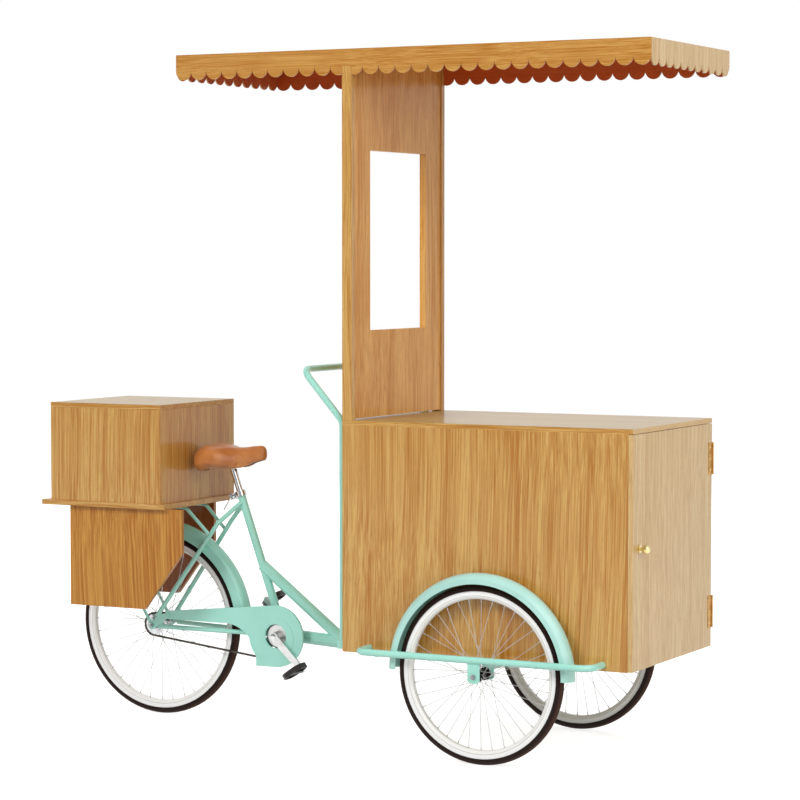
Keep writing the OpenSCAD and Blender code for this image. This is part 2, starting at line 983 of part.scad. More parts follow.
canopy_z1 = worktop_z + canopy_rise;
roof_z0 = canopy_z1 - board_t;
canopy_x1 = cab_x1 + canopy_front;
canopy_x0 = canopy_x1 - canopy_l;
fascia_root_z = canopy_z1 - fascia_h;
panel_set = 5;
panel_shadow = 4;

module column_stiles() {
    x1 = cab_x0 + stile_d;
    y0 = half_w - stile_t;
    color(oak)
        both_sides() {
            board([cab_x0, y0, worktop_z], [x1, half_w, fascia_root_z - loose_fit]);
            board([cab_x0, y0, worktop_z], [x1, half_w - fascia_t - loose_fit, roof_z0]);
        }
}

module column_panel() {
    x1 = cab_x0 + stile_d - panel_set;
    y = half_w - stile_t;
    color(oak)
        difference() {
            board([x1 - panel_t, -y, worktop_z + panel_shadow], [x1, y, roof_z0]);
            board([x1 - panel_t - overrun, -window_w / 2, worktop_z + window_rise],
                [x1 + overrun, window_w / 2, worktop_z + window_rise + window_h]);
        }
}

module canopy_roof() {
    color(oak)
        board([canopy_x0 + fascia_t, fascia_t - half_w, roof_z0],
            [canopy_x1 - fascia_t, half_w - fascia_t, canopy_z1]);
}

// Outline of a fascia: a strip with a row of round scallops along its foot
module fascia_outline(l, n) {
    step = l / n;
    round_r = step / 2 - seat_gap;
    translate([0, -fascia_h]) square([l, fascia_h]);
    for (k = [0 : n - 1])
        translate([(k + 0.5) * step, -fascia_h]) circle(r = round_r);
}

module fascia_sides() {
    color(oak)
        for (s = [0, 1])
            mirror([0, s, 0])
                difference() {
                    translate([canopy_x0, half_w, canopy_z1])
                        upright() linear_extrude(fascia_t) fascia_outline(canopy_l, side_scallops);
                    board([cab_x0 - loose_fit, half_w - stile_t - overrun, worktop_z],
                        [cab_x0 + stile_d + loose_fit, half_w + overrun, fascia_root_z]);
                }
}

module fascia_ends() {
    l = cabinet_w - 2 * fascia_t;
    color(oak)
        for (x = [canopy_x0, canopy_x1 - fascia_t])
            translate([x, -l / 2, canopy_z1])
                rotate([90, 0, 90]) linear_extrude(fascia_t) fascia_outline(l, end_scallops);
}

// Bicycle frame

// A point of the rear triangle given from the rear axle, forward and up
function from_axle(p, y) = [rear_axle_x + p[0], y, rear_axle_z + p[1]];

stay_knee_point = [bb_x - stay_knee[0], stay_knee_y, seat_top.z - stay_knee[1]];
stay_low_point = from_axle(seat_stay_end, stay_end_y);
stay_dir = unit(stay_low_point - stay_knee_point);

// Point of the left seat stay at a height
function stay_at(z) = stay_knee_point + stay_dir * (z - stay_knee_point.z) / stay_dir.z;

rear_lug_r = rear_fender_r - (crown_depth(rear_fender_w) + rear_fender_depth) / 2;
rear_lug_point = stay_at(rear_axle_z + rear_lug_r * sin(atan2(-stay_dir.z, -stay_dir.x)));

// A drop-out plate on the left side
module dropout() {
    translate([rear_axle_x, drop_y + drop_t, rear_axle_z])
        upright()
            linear_extrude(drop_t) {
                circle(r = drop_r);
                polygon([[0, -drop_r / 2], chain_stay_end + [drop_r, 0],
                    seat_stay_end + [drop_r, drop_r], seat_stay_end, [0, drop_r / 2]]);
            }
}

// The ear on the right drop-out that carries the rear end of the chain guard
module guard_ear() {
    translate([rear_axle_x, -drop_y, rear_axle_z])
        upright()
            linear_extrude(drop_t)
                difference() {
                    union() {
                        translate(guard_bolt) circle(r = guard_ear_r);
                        polygon([seat_stay_end, chain_stay_end,
                            guard_bolt - [0, hanger_neck_share * guard_ear_r],
                            guard_bolt + [0, hanger_neck_share * guard_ear_r]]);
                    }
                    translate(guard_bolt) circle(d = guard_bolt_d + 2 * slide_fit);
                }
}

module frame() {
    head = [0, 0, boom_z];
    brace_top = bb_point + brace_up / cos(seat_lean) * seat_axis_dir;
    brace_low = [brace_end_x, 0, boom_z];
    stay_top = seat_top - stay_top_drop * seat_axis_dir;
    color(mint)
        difference() {
            union() {
                rod(bb_point, seat_top, seat_tube_d);
                rod(bb_point, head, boom_d);
                rod(brace_top, brace_low, brace_d);
                translate([0, 0, head_z0]) cylinder(h = head_z1 - head_z0, d = head_d);
                translate(bb_point)
                    along_y()
                        translate([0, 0, -shell_half]) cylinder(h = 2 * shell_half, d = shell_d);
                both_sides() {
                    rod([bb_x, stay_root_y, bb_z], from_axle(chain_stay_end, stay_end_y), stay_d);
                    bent_bar([stay_top + [0, stay_top_y, 0], stay_knee_point, stay_low_point],
                        stay_d, rail_bend);
                    dropout();
                }
                guard_ear();
            }
            rod(seat_top - bore_depth * seat_axis_dir, seat_top + overrun * seat_axis_dir,
                post_d + 2 * slide_fit);
            translate(bb_point)
                along_y()
                    translate([0, 0, -shell_half - overrun])
                        cylinder(h = 2 * (shell_half + overrun), d = cup_d + 2 * run_fit);
            translate([0, 0, head_z0 - overrun])
                cylinder(h = head_z1 - head_z0 + 2 * overrun, d = bush_d + 2 * run_fit);
            at_rear_axle()
                along_y()
                    translate([0, 0, -drop_y - 2 * drop_t])
                        cylinder(h = 2 * (drop_y + 2 * drop_t), d = axle_d + loose_fit);
        }
}

module steering_bushes() {
    color(brass_tone)
        for (s = [0, 1])
            translate([0, 0, s == 0 ? head_z0 : head_z1])
                mirror([0, 0, s])
                    difference() {
                        union() {
                            cylinder(h = bush_l, d = bush_d);
                            translate([0, 0, -bush_flange_t])
                                cylinder(h = bush_flange_t, d = bush_flange_d);
                        }
                        translate([0, 0, -overrun - bush_flange_t])
                            cylinder(h = bush_l + 2 * overrun + bush_flange_t,
                                d = king_pin_d + 2 * run_fit);
                    }
}

// Cranks and pedals

module at_bb() {
    translate(bb_point) children();
}

module bottom_bracket() {
    color(chrome_tone)
        at_bb()
            both_sides()
                along_y()
                    translate([0, 0, shell_half - cup_l])
                        difference() {
                            union() {
                                cylinder(h = cup_l, d = cup_d);
                                translate([0, 0, cup_l]) cylinder(h = cup_flange_t, d = cup_flange_d);
                            }
                            translate([0, 0, -overrun])
                                cylinder(h = cup_l + cup_flange_t + 2 * overrun,
                                    d = spindle_d + 2 * run_fit);
                        }
}

module crank_spindle() {
    half = crank_y0 + crank_t - seat_gap;
    color(chrome_tone)
        at_bb() along_y() translate([0, 0, -half]) cylinder(h = 2 * half, d = spindle_d);
}

// A crank arm on the left side at an angle, with its pedal pin and boss
module crank(angle, boss_from, carrier) {
    w0 = crank_neck_share * crank_boss_d / 2;
    w1 = crank_neck_share * crank_end_d / 2;
    y1 = crank_y0 + crank_t;
    color(chrome_tone)
        at_bb()
            rotate([0, angle, 0]) {
                along_y()
                    difference() {
                        union() {
                            translate([0, 0, boss_from])
                                cylinder(h = y1 - boss_from, d = crank_boss_d);
                            translate([crank_l, 0, crank_y0]) cylinder(h = crank_t, d = crank_end_d);
                            translate([0, 0, crank_y0])
                                linear_extrude(crank_t)
                                    polygon([[0, -w0], [crank_l, -w1], [crank_l, w1], [0, w0]]);
                            if (carrier) {
                                translate([0, 0, -chain_y + tooth_t / 2])
                                    cylinder(h = carrier_t, d = carrier_d);
                                translate([0, 0, -chain_y - tooth_t / 2])
                                    cylinder(h = tooth_t + overrun, d = ring_bore_d);
                            }
                        }
                        translate([0, 0, 0])
                            cylinder(h = y1 + overrun, d = spindle_d + 2 * run_fit);
                        translate([crank_l, 0, crank_y0 - overrun])
                            cylinder(h = crank_t + 2 * overrun, d = pedal_pin_d + 2 * run_fit);
                    }
                along_y()
                    translate([crank_l, 0, crank_y0])
                        cylinder(h = crank_t + pedal_gap + pedal_w - pedal_end, d = pedal_pin_d);
            }
}

module crank_right() {
    mirror([0, 1, 0]) crank(crank_angle, -chain_y + tooth_t / 2, true);
}

module crank_left() { crank(crank_angle + 180, crank_y0 - crank_t, false); }

// Half of a pedal's outline or of its window, from the pin outwards
module pedal_half(x0, inset, x1, cut) {
    y1 = pedal_w - inset;
    polygon([[x0, inset], [x1 - cut, inset], [x1, inset + cut],
        [x1, y1 - cut], [x1 - cut, y1], [x0, y1]]);
}

// A pedal on the left side: a tube on the pin inside an open cage
module pedal(angle) {
    y0 = crank_y0 + crank_t + pedal_gap;
    px = bb_x + crank_l * cos(angle);
    pz = bb_z - crank_l * sin(angle);
    color(black_tone)
        translate([px, y0, pz])
            difference() {
                union() {
                    rotate([0, -pedal_tilt, 0])
                        translate([0, 0, -pedal_h / 2])
                            linear_extrude(pedal_h)
                                difference() {
                                    for (side = [0, 1])
                                        mirror([side, 0])
                                            pedal_half(-overrun, 0, pedal_l / 2, pedal_cut);
                                    for (side = [0, 1])
                                        mirror([side, 0])
                                            pedal_half(pedal_tube_d / 2, pedal_end,
                                                pedal_l / 2 - pedal_bar, pedal_cut_in);
                                }
                    translate([0, -overrun, 0])
                        along_y() cylinder(h = pedal_w + 2 * overrun, d = pedal_tube_d + overrun);
                }
                along_y()
                    translate([0, 0, -2 * overrun])
                        cylinder(h = pedal_w - pedal_end + 2 * overrun + loose_fit,
                            d = pedal_pin_d + 2 * run_fit);
            }
}

module pedal_right() { mirror([0, 1, 0]) pedal(crank_angle); }

module pedal_left() { pedal(crank_angle + 180); }

// Chain drive

// The plane of the chain: local x from the bottom bracket to the rear axle
module chain_plane() {
    u = unit([rear_axle_x - bb_x, 0, rear_axle_z - bb_z]);
    multmatrix([
        [u.x, u.z, 0, bb_x],
        [0, 0, 1, chain_y],
        [u.z, -u.x, 0, bb_z]
    ])
        children();
}

// Outline of a toothed wheel with a valley at an angle
module toothed(r, n, phase) {
    seat_r = roller_d / 2 + roller_fit;
    tip_r = r + tooth_tip_share * pitch;
    half_tip = PI * tip_r / n - tooth_tip_w / 2;
    difference() {
        circle(r = tip_r);
        for (k = [0 : n - 1])
            rotate(phase + k * 360 / n)
                translate([r, 0]) {
                    circle(r = seat_r);
                    polygon([[0, -seat_r * hanger_neck_share], [tip_r - r + overrun, -half_tip],
                        [tip_r - r + overrun, half_tip], [0, seat_r * hanger_neck_share]]);
                }
    }
}

module chainring() {
    window_at = ring_window_share * ring_r;
    color(chrome_tone)
        chain_plane()
            translate([0, 0, -tooth_t / 2])
                linear_extrude(tooth_t)
                    difference() {
                        toothed(ring_r, ring_teeth, wrap_a);
                        circle(d = ring_bore_d + 2 * run_fit);
                        for (k = [0 : ring_window_n - 1])
                            rotate(k * 360 / ring_window_n)
                                translate([window_at, 0]) circle(d = ring_window_d);
                    }
}

module sprocket() {
    body_w = 12;
    body_d = 58;
    color(chrome_tone)
        chain_plane()
            translate([stay_l, 0, 0])
                difference() {
                    union() {
                        translate([0, 0, -tooth_t / 2])
                            linear_extrude(tooth_t)
                                toothed(sprocket_r, sprocket_teeth, sprocket_phase);
                        translate([0, 0, -body_w / 2]) cylinder(h = body_w, d = body_d);
                    }
                    translate([0, 0, -body_w])
                        cylinder(h = 2 * body_w, d = 2 * (rear_boss_r + run_fit));
                }
}

// Outline of a link plate of a length
module link_plate(l) {
    circle(d = plate_h);
    translate([l, 0]) circle(d = plate_h);
    translate([0, -waist_share * plate_h / 2]) square([l, waist_share * plate_h]);
}

// An inner link: two plates joined by two rollers with bores
module inner_link(l) {
    half = inner_gap / 2 + plate_t;
    difference() {
        union() {
            for (z = [-half, half - plate_t])
                translate([0, 0, z]) linear_extrude(plate_t) link_plate(l);
            for (x = [0, l])
                translate([x, 0, -half]) cylinder(h = 2 * half, d = roller_d);
        }
        for (x = [0, l])
            translate([x, 0, -half - overrun])
                cylinder(h = 2 * (half + overrun), d = link_pin_d + 2 * run_fit);
    }
}

// An outer link: two plates joined by two pins
module outer_link(l) {
    half = inner_gap / 2 + plate_t + bush_out_share * plate_t;
    for (z = [-half - plate_t, half])
        translate([0, 0, z]) linear_extrude(plate_t) link_plate(l);
    pin_half = half + plate_t + pin_out;
    for (x = [0, l])
        translate([x, 0, -pin_half]) cylinder(h = 2 * pin_half, d = link_pin_d);
}

module chain() {
    color(black_tone)
        chain_plane()
            for (k = [0 : link_n - 1]) {
                a = loop_point(k * pitch);
                b = loop_point((k + 1) % link_n * pitch);
                translate(a)
                    rotate(atan2(b.y - a.y, b.x - a.x)) {
                        if (k % 2 == 0)
                            outer_link(norm(b - a));
                        else
                            inner_link(norm(b - a));
                    }
            }
}

// Outline of the guard about the bottom bracket, forward and up
module guard_outline() {
    back = rear_axle_x - bb_x + guard_arm_back;
    up = rear_axle_z - bb_z;
    circle(r = guard_r);
    difference() {
        polygon([
            [0, guard_r], [back, up + guard_arm_z[1]], [back, up + guard_arm_z[0]],
            [-guard_hollow[0], guard_hollow_r - guard_hollow[1] - overrun],
            [-guard_foot, -guard_r], [0, -guard_r]
        ]);
        translate([-guard_hollow[0], -guard_hollow[1]]) circle(r = guard_hollow_r);
    }
}

// Raised field of the guard, inside its outline
module guard_field() {
    top = guard_r - guard_band;
    low = guard_sill - guard_r;
    mid = (top + low) / 2;
    tail = guard_hollow_r - guard_hollow[1] - 2 * overrun;
    difference() {
        union() {
            translate([0, mid]) circle(r = top - mid + loose_fit);
            polygon([[0, top], [-guard_hollow[0], tail], [-guard_hollow[0], low], [0, low]]);
        }
        translate([-guard_hollow[0], -guard_hollow[1]]) circle(r = guard_hollow_r + guard_lip);
        circle(r = guard_hole_r + guard_t);
    }
}

module chain_guard() {
    back = rear_axle_x - bb_x + guard_arm_back;
    top_back = rear_axle_z - bb_z + guard_arm_z[1];
    post_at = guard_post_x;
    bolt_x = rear_axle_x - bb_x + guard_bolt[0];
    bolt_z = rear_axle_z - bb_z + guard_bolt[1];
    stay_run = stay_l - chain_stay_end[0];
    stay_gap = guard_y - (stay_root_y + (stay_end_y - stay_root_y) * post_at / stay_run);
    color(mint)
        at_bb()
            upright() {
                translate([0, 0, guard_y])
                    linear_extrude(guard_t)
                        difference() {
                            guard_outline();
                            circle(r = guard_hole_r);
                        }
                translate([0, 0, guard_y - guard_lip])
                    linear_extrude(guard_lip + guard_t)
                        difference() {
                            circle(r = guard_r);
                            circle(r = guard_r - guard_t);
                            translate([-2 * guard_r, -2 * guard_r])
                                square([2 * guard_r, 4 * guard_r]);
                        }
                translate([0, 0, guard_y - guard_lip])
                    linear_extrude(guard_lip + guard_t)
                        polygon([[0, guard_r], [back, top_back], [back, top_back - guard_t],
                            [0, guard_r - guard_t]]);
                translate([0, 0, guard_y + guard_t])
                    linear_extrude(guard_emboss) guard_field();
                translate([-post_at, 0, guard_y - stay_gap + stay_d / 2 + 2 * loose_fit])
                    cylinder(h = stay_gap - stay_d / 2, d = guard_post_d);
                translate([bolt_x, bolt_z, guard_y])
                    cylinder(h = drop_y - guard_y + drop_t, d = guard_bolt_d);
            }
}

module fender_rear() {
    top = rack_z - rack_d / 2 - seat_gap - rear_axle_z;
    crown = rear_fender_r - fender_t;
    lug_in = rear_fender_w / 2 - fender_lug_d / 2;
    lug_out = rear_lug_point.y - stay_d / 2 - 2 * loose_fit;
    color(mint) {
        both_sides()
            translate([rear_lug_point.x, lug_in, rear_lug_point.z])
                along_y() cylinder(h = lug_out - lug_in, d = fender_lug_d);
        at_rear_axle() {
            upright()
                rotate([0, 0, rear_fender_from])
                    rotate_extrude(angle = rear_fender_to - rear_fender_from)
                        fender_band(rear_fender_r, rear_fender_w, rear_fender_depth);
            strap_x = rack_cross_x(1) - rear_axle_x;
            strap_z = sqrt(crown * crown - strap_x * strap_x);
            board([strap_x - fender_strap_t / 2, -fender_strap_w / 2, strap_z],
                [strap_x + fender_strap_t / 2, fender_strap_w / 2, top]);
        }
    }
}

// Rack, shelf, box and side panels

// Place of a cross tube of the rack along the shelf
function rack_cross_x(i) = rack_front_x + rack_cross_shares[i] * (rack_rear_x - rack_front_x);

module rack() {
    foot_z = stay_at(stay_knee_point.z - stay_top_drop);
    strut_top = [rack_front_x + strut_top_share * (rack_rear_x - rack_front_x), rack_y, rack_z];
    axle_point = [rear_axle_x, rack_y, rear_axle_z];
    strut_dir = unit(strut_top - axle_point);
    eyelet_y = drop_y + drop_t;
    color(mint)
        difference() {
            union() {
                both_sides() {
                    bent_bar([[rack_rear_x, rack_y, rack_z], [rack_front_x, rack_y, rack_z],
                        [foot_z.x, foot_z.y + stay_d / 2 + rack_d / 2 + seat_gap, foot_z.z]],
                        rack_d, rack_bend);
                    rod(axle_point + strut_start * strut_dir, strut_top, strut_d);
                    translate([rear_axle_x, eyelet_y, rear_axle_z])
                        along_y() cylinder(h = eyelet_t, d = eyelet_d);
                    translate([rear_axle_x, eyelet_y + eyelet_t / 2, rear_axle_z])
                        rotate([0, -atan2(strut_dir.z, strut_dir.x), 0])
                            translate([0, -eyelet_t / 2, -strut_d / 2])
                                cube([strut_start + strut_d, eyelet_t, strut_d]);
                }
                for (i = [0 : len(rack_cross_shares) - 1])
                    rod([rack_cross_x(i), -rack_y, rack_z], [rack_cross_x(i), rack_y, rack_z], strut_d);
            }
            at_rear_axle()
                along_y()
                    translate([0, 0, -2 * drop_y])
                        cylinder(h = 4 * drop_y, d = axle_d + loose_fit);
        }
}

module shelf() {
    color(oak)
        board([shelf_x0, -shelf_w / 2, shelf_z0], [shelf_x1, shelf_w / 2, shelf_z1]);
}

module box_walls() {
    y = box_w / 2;
    z1 = lid_z - lid_gap;
    color(oak) {
        both_sides() board([box_x0, y - box_t, shelf_z1], [box_x1, y, z1]);
        for (x = [box_x0, box_x1 - box_t])
            board([x, box_t - y + seat_gap, shelf_z1], [x + box_t, y - box_t - seat_gap, z1]);
    }
}

module box_lid() {
    y = box_w / 2;
    color(oak) board([box_x0, -y, lid_z], [box_x1, y, lid_z + lid_t]);
}

// The places of the two lid hinges, local -x down the rear wall
module at_lid_hinges() {
    off = knuckle_r + seat_gap;
    for (s = [-1, 1])
        translate([box_x0 - off, s * lid_hinge_share * box_w / 2, lid_z - lid_gap / 2])
            rotate([0, -90, 0]) rotate([90, 0, 0]) mirror([0, 1, 0]) children();
}

module lid_hinge_frames() {
    color(brass_tone)
        at_lid_hinges() hinge_leaf(lid_hinge_h, leaf_w, 0, true);
}

module lid_hinge_leaves() {
    color(brass_tone)
        at_lid_hinges() mirror([1, 0, 0]) hinge_leaf(lid_hinge_h, lid_leaf_w - knuckle_r, 1, false);
}

// The left side panel under the shelf, with its front edge at a place
module pannier_panel(x1) {
    x0 = pannier_x0;
    z0 = shelf_z0 - pannier_h;
    translate([0, pannier_y, 0])
        upright()
            linear_extrude(pannier_t)
                polygon([[x0, z0], [x1 - pannier_cut[0], z0], [x1, z0 + pannier_cut[1]],
                    [x1, shelf_z0], [x0, shelf_z0]]);
}

module pannier_panels() {
    color(oak) {
        pannier_panel(pannier_x1 - pannier_back);
        mirror([0, 1, 0]) pannier_panel(pannier_x1);
    }
}

// Seat

// Local z along the seat tube from the bottom bracket
module seat_axis() {
    at_bb() rotate([0, -seat_lean, 0]) children();
}

post_top = bb_point + (seat_tube_l + post_out) * seat_axis_dir;
rail_line_z = post_top.z + saddle_clamp.z / 2;

module seat_post() {
    color(chrome_tone)
        difference() {
            union() {
                seat_axis()
                    translate([0, 0, seat_tube_l - post_in])
                        cylinder(h = post_in + post_out, d = post_d);
                translate([post_top.x, 0, rail_line_z])
                    translate(-saddle_clamp / 2) cube(saddle_clamp);
            }
            for (s = [-1, 1])
                translate([post_top.x - saddle_clamp.x, s * saddle_rail_y, rail_line_z])
                    rotate([0, 90, 0])
                        cylinder(h = 2 * saddle_clamp.x, d = saddle_rail_d + 2 * run_fit);
        }
}

module seat_clamp() {
    color(chrome_tone)
        seat_axis()
            translate([0, 0, seat_tube_l - clamp_h]) {
                difference() {
                    union() {
                        cylinder(h = clamp_h, d = clamp_od);
                        translate([-clamp_od / 2 - clamp_ear[0] / 2, -clamp_ear[1] / 2, 0])
                            cube([clamp_ear[0], clamp_ear[1], clamp_h]);
                    }
                    translate([0, 0, -overrun])
                        cylinder(h = clamp_h + 2 * overrun, d = seat_tube_d + 2 * slide_fit);
                    translate([-skewer_back, -clamp_ear[1], clamp_h / 2])
                        along_y() cylinder(h = 2 * clamp_ear[1], d = skewer_d + 2 * slide_fit);
                }
                translate([-skewer_back, slide_fit - clamp_ear[1] / 2 - lever_hub_d / 2, clamp_h / 2])
                    along_y() {
                        cylinder(h = clamp_ear[1] + lever_hub_d, d = skewer_d);
                        translate([0, 0, clamp_ear[1] + lever_hub_d / 2])
                            cylinder(h = skewer_nut_t, d = skewer_nut_d);
                    }
            }
}

// Centre of the lever's cam, on the right of the clamp
cam_point = seat_top - clamp_h / 2 * seat_axis_dir
    + skewer_back * [-cos(seat_lean), 0, -sin(seat_lean)]
    + [0, -clamp_ear[1] / 2 - lever_hub_d, 0];

module clamp_lever() {
    tip = cam_point + lever_l * [-cos(lever_drop), 0, -sin(lever_drop)];
    color(chrome_tone) {
        translate(cam_point)
            rotate([0, -lever_drop, 0])
                cylinder(h = lever_hub_d, d = lever_hub_d, center = true);
        rod(cam_point, tip, lever_d);
        translate(tip) sphere(d = lever_d + overrun);
    }
}

// Saddle form along its length, from the rear at 0 to the nose at 1

function ease(t) = t <= 0 ? 0 : t >= 1 ? 1 : t * t * (3 - 2 * t);

saddle_flare_shares = [0.3, 0.72];
saddle_dip_share = 0.58;
saddle_end_share = 0.04;
saddle_end_powers = [5, 0.45];
saddle_dip_spread = 5;
saddle_end_depth_share = 0.55;
saddle_drawn_share = 0.1;
saddle_side_power = 0.8;
saddle_crown_power = 0.62;
saddle_mount_shares = [0.12, 0.9];
saddle_hollow_share = 0.8;
saddle_recess = 3;

// Rounding of both ends
function saddle_end(t) =
    pow(1 - pow(abs(2 * t - 1), saddle_end_powers[0]), saddle_end_powers[1]);

function saddle_half(t) =
    let (f = ease((t - saddle_flare_shares[0]) / (saddle_flare_shares[1] - saddle_flare_shares[0])))
    (saddle_w * (1 - f) + saddle_nose_w * f) / 2 * saddle_end(t);

function saddle_top(t) =
    rail_line_z + saddle_top_rise
    - saddle_dip * exp(-pow((t - saddle_dip_share) * saddle_dip_spread, 2));

function saddle_low(t) =
    let (h = saddle_h * (1 - t) + saddle_nose_h * t)
    saddle_top(t) - h * (saddle_end_depth_share + (1 - saddle_end_depth_share) * saddle_end(t));

// Roof of the hollow over the rails and the post's clamp
function saddle_roof(t) =
    max(saddle_low(t) + saddle_recess, rail_line_z + saddle_clamp.z / 2 + saddle_room);

function saddle_x(t) = post_top.x + saddle_front - saddle_l * (1 - t);

function saddle_ring_points(t) = [
    for (k = [0 : saddle_ring])
        let (
            a = 180 * k / saddle_ring,
            drawn = 1 - saddle_drawn_share * pow(1 - sin(a), 2),
            y = saddle_half(t) * sign(cos(a)) * pow(abs(cos(a)), saddle_side_power) * drawn,
            rise = pow(sin(a), saddle_crown_power)
        )
        [saddle_x(t), y, saddle_low(t) + (saddle_top(t) - saddle_low(t)) * rise],
    for (k = [0 : 3])
        let (side = k < 2 ? -1 : 1)
        [saddle_x(t), side * saddle_hollow_share * saddle_half(t),
            k == 0 || k == 3 ? saddle_low(t) : saddle_roof(t)]
];

module saddle_cover() {
    r = saddle_ring;
    m = r + 5;
    n = saddle_steps;
    lead = saddle_end_share;
    points = [
        for (i = [0 : n])
            each saddle_ring_points(lead + (1 - 2 * lead) * i / n)
    ];
    quads = [
        for (i = [0 : n - 1])
            for (k = [0 : m - 1])
                let (a = i * m + k, b = i * m + (k + 1) % m)
                each [[a, b, b + m], [a, b + m, a + m]]
    ];
    end_faces = concat(
        [for (k = [0 : r - 1]) [k < r / 2 ? r + 3 : r + 2, k, k + 1]],
        [[r + 3, r + 4, 0], [r, r + 1, r + 2], [r / 2, r + 2, r + 3]]
    );
    rear_cap = [for (f = end_faces) [f[2], f[1], f[0]]];
    nose_cap = [for (f = end_faces) [for (k = f) n * m + k]];
    color(leather_tone) polyhedron(points, concat(quads, rear_cap, nose_cap));
}

module saddle_frame() {
    rear = saddle_mount_shares[0];
    nose = saddle_mount_shares[1];
    lift = saddle_rail_d / 2 + loose_fit;
    color(chrome_tone)
        both_sides()
            bent_bar([
                [saddle_x(nose), saddle_rail_y / 2, saddle_roof(nose) - lift - nose_gap],
                [post_top.x + saddle_clamp.x, saddle_rail_y, rail_line_z],
                [post_top.x - saddle_clamp.x, saddle_rail_y, rail_line_z],
                [saddle_x(rear), 2 * saddle_rail_y, saddle_roof(rear) - lift]
            ], saddle_rail_d, rail_d);
}

tyre_front_right();
tyre_front_left();
rim_front_right();
rim_front_left();
spokes_front_right();
spokes_front_left();
hub_front_right();
hub_front_left();
front_axles();
chassis();
side_rail_right();
side_rail_left();
king_pin();
push_bar();
fender_right();
fender_left();
cabinet_side_right();
cabinet_side_left();
cabinet_back();
cabinet_floor();
worktop();
door();
door_hinge_frames();
door_hinge_leaves();
door_knob();
column_stiles();
column_panel();
canopy_roof();
fascia_sides();
fascia_ends();
frame();
steering_bushes();
bottom_bracket();
crank_spindle();
crank_right();
crank_left();
chainring();
pedal_right();
pedal_left();
chain();
chain_guard();
sprocket();
rear_axle();
tyre_rear();
rim_rear();
spokes_rear();
hub_rear();
fender_rear();
rack();
shelf();
box_walls();
box_lid();
lid_hinge_frames();
lid_hinge_leaves();
pannier_panels();
seat_post();
seat_clamp();
clamp_lever();
saddle_cover();
saddle_frame();
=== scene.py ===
"""Looks of a bicycle food cart, built on its packed construction as a fixed frame."""
import logging
import math
from dataclasses import dataclass
from enum import Enum
from typing import Any, Iterable, Sequence

import bpy
import numpy as np
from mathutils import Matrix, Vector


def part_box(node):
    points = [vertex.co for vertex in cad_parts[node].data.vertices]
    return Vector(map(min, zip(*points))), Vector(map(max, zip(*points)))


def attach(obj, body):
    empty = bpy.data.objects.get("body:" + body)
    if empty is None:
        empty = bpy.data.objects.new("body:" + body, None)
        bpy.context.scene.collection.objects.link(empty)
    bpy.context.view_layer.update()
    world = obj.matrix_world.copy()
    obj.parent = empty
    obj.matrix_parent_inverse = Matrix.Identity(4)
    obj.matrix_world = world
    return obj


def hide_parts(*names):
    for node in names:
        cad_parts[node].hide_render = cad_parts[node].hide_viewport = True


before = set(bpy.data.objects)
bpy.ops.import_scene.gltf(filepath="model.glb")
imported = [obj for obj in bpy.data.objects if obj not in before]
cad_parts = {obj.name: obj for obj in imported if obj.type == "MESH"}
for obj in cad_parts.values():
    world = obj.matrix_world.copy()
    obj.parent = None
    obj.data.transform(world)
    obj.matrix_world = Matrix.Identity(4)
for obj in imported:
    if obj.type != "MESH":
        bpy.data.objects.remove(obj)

LOG = logging.getLogger("food_cart")
MM = 0.001
TAU = 2.0 * math.pi


def linear(colour: str) -> tuple[float, float, float, float]:
    """Turn an sRGB hex colour into linear RGBA.

    Args:
        colour: A hex colour such as "#C5965A".

    Returns:
        The linear red, green, blue and a full alpha.
    """
    c = np.array([int(colour[i:i + 2], 16) for i in (1, 3, 5)]) / 255.0
    flat = np.where(c <= 0.04045, c / 12.92, ((c + 0.055) / 1.055) ** 2.4)
    return (float(flat[0]), float(flat[1]), float(flat[2]), 1.0)


def add(tree: bpy.types.NodeTree, kind: str, links: dict[Any, Any] | None = None,
        values: dict[Any, Any] | None = None, stops: Sequence[tuple[float, str]] = (),
        **settings: Any) -> bpy.types.Node:
    """Add one node with its settings, its values, its links and, on a ramp, its stops.

    Args:
        tree: The node tree.
        kind: The node's type name.
        links: Input name or index to the output socket that feeds it.
        values: Input name or index to its value.
        stops: Places and hex colours of a colour ramp.
        settings: Attributes of the node.

    Returns:
        The new node.
    """
    node = tree.nodes.new(kind)
    for key, value in settings.items():
        setattr(node, key, value)
    for key, value in (values or {}).items():
        node.inputs[key].default_value = value
    for key, socket in (links or {}).items():
        tree.links.new(socket, node.inputs[key])
    for i, (place, colour) in enumerate(stops):
        element = node.color_ramp.elements[i] if i < 2 else node.color_ramp.elements.new(place)
        element.position = place
        element.color = linear(colour)
    return node


def feed(tree: bpy.types.NodeTree, shader: bpy.types.Node, colour: bpy.types.NodeSocket, rough: bpy.types.Node,
         bump: bpy.types.Node | None = None, values: dict[str, float] | None = None) -> None:
    """Feed a shader its colour, its roughness, its bumped normal and its fixed values.

    Args:
        tree: The material's nodes.
        shader: The shader.
        colour: The colour's socket.
        rough: The node that gives the roughness.
        bump: The bump node, if there is one.
        values: Input name to its value.
    """
    tree.links.new(colour, shader.inputs["Base Color"])
    tree.links.new(rough.outputs[0], shader.inputs["Roughness"])
    if bump:
        tree.links.new(bump.outputs[0], shader.inputs["Normal"])
    for key, value in (values or {}).items():
        shader.inputs[key].default_value = value


class Grain(Enum):
    """The way that the grain of a board runs."""

    LENGTH = 0
    WIDTH = 1
    HEIGHT = 2

    def scale(self, across_mm: float, along_mm: float) -> tuple[float, float, float]:
        """Pattern repeats per metre on each axis, from the sizes across and along the grain."""
        across, along = 1.0 / (across_mm * MM), 1.0 / (along_mm * MM)
        return tuple(along if i == self.value else across for i in range(3))


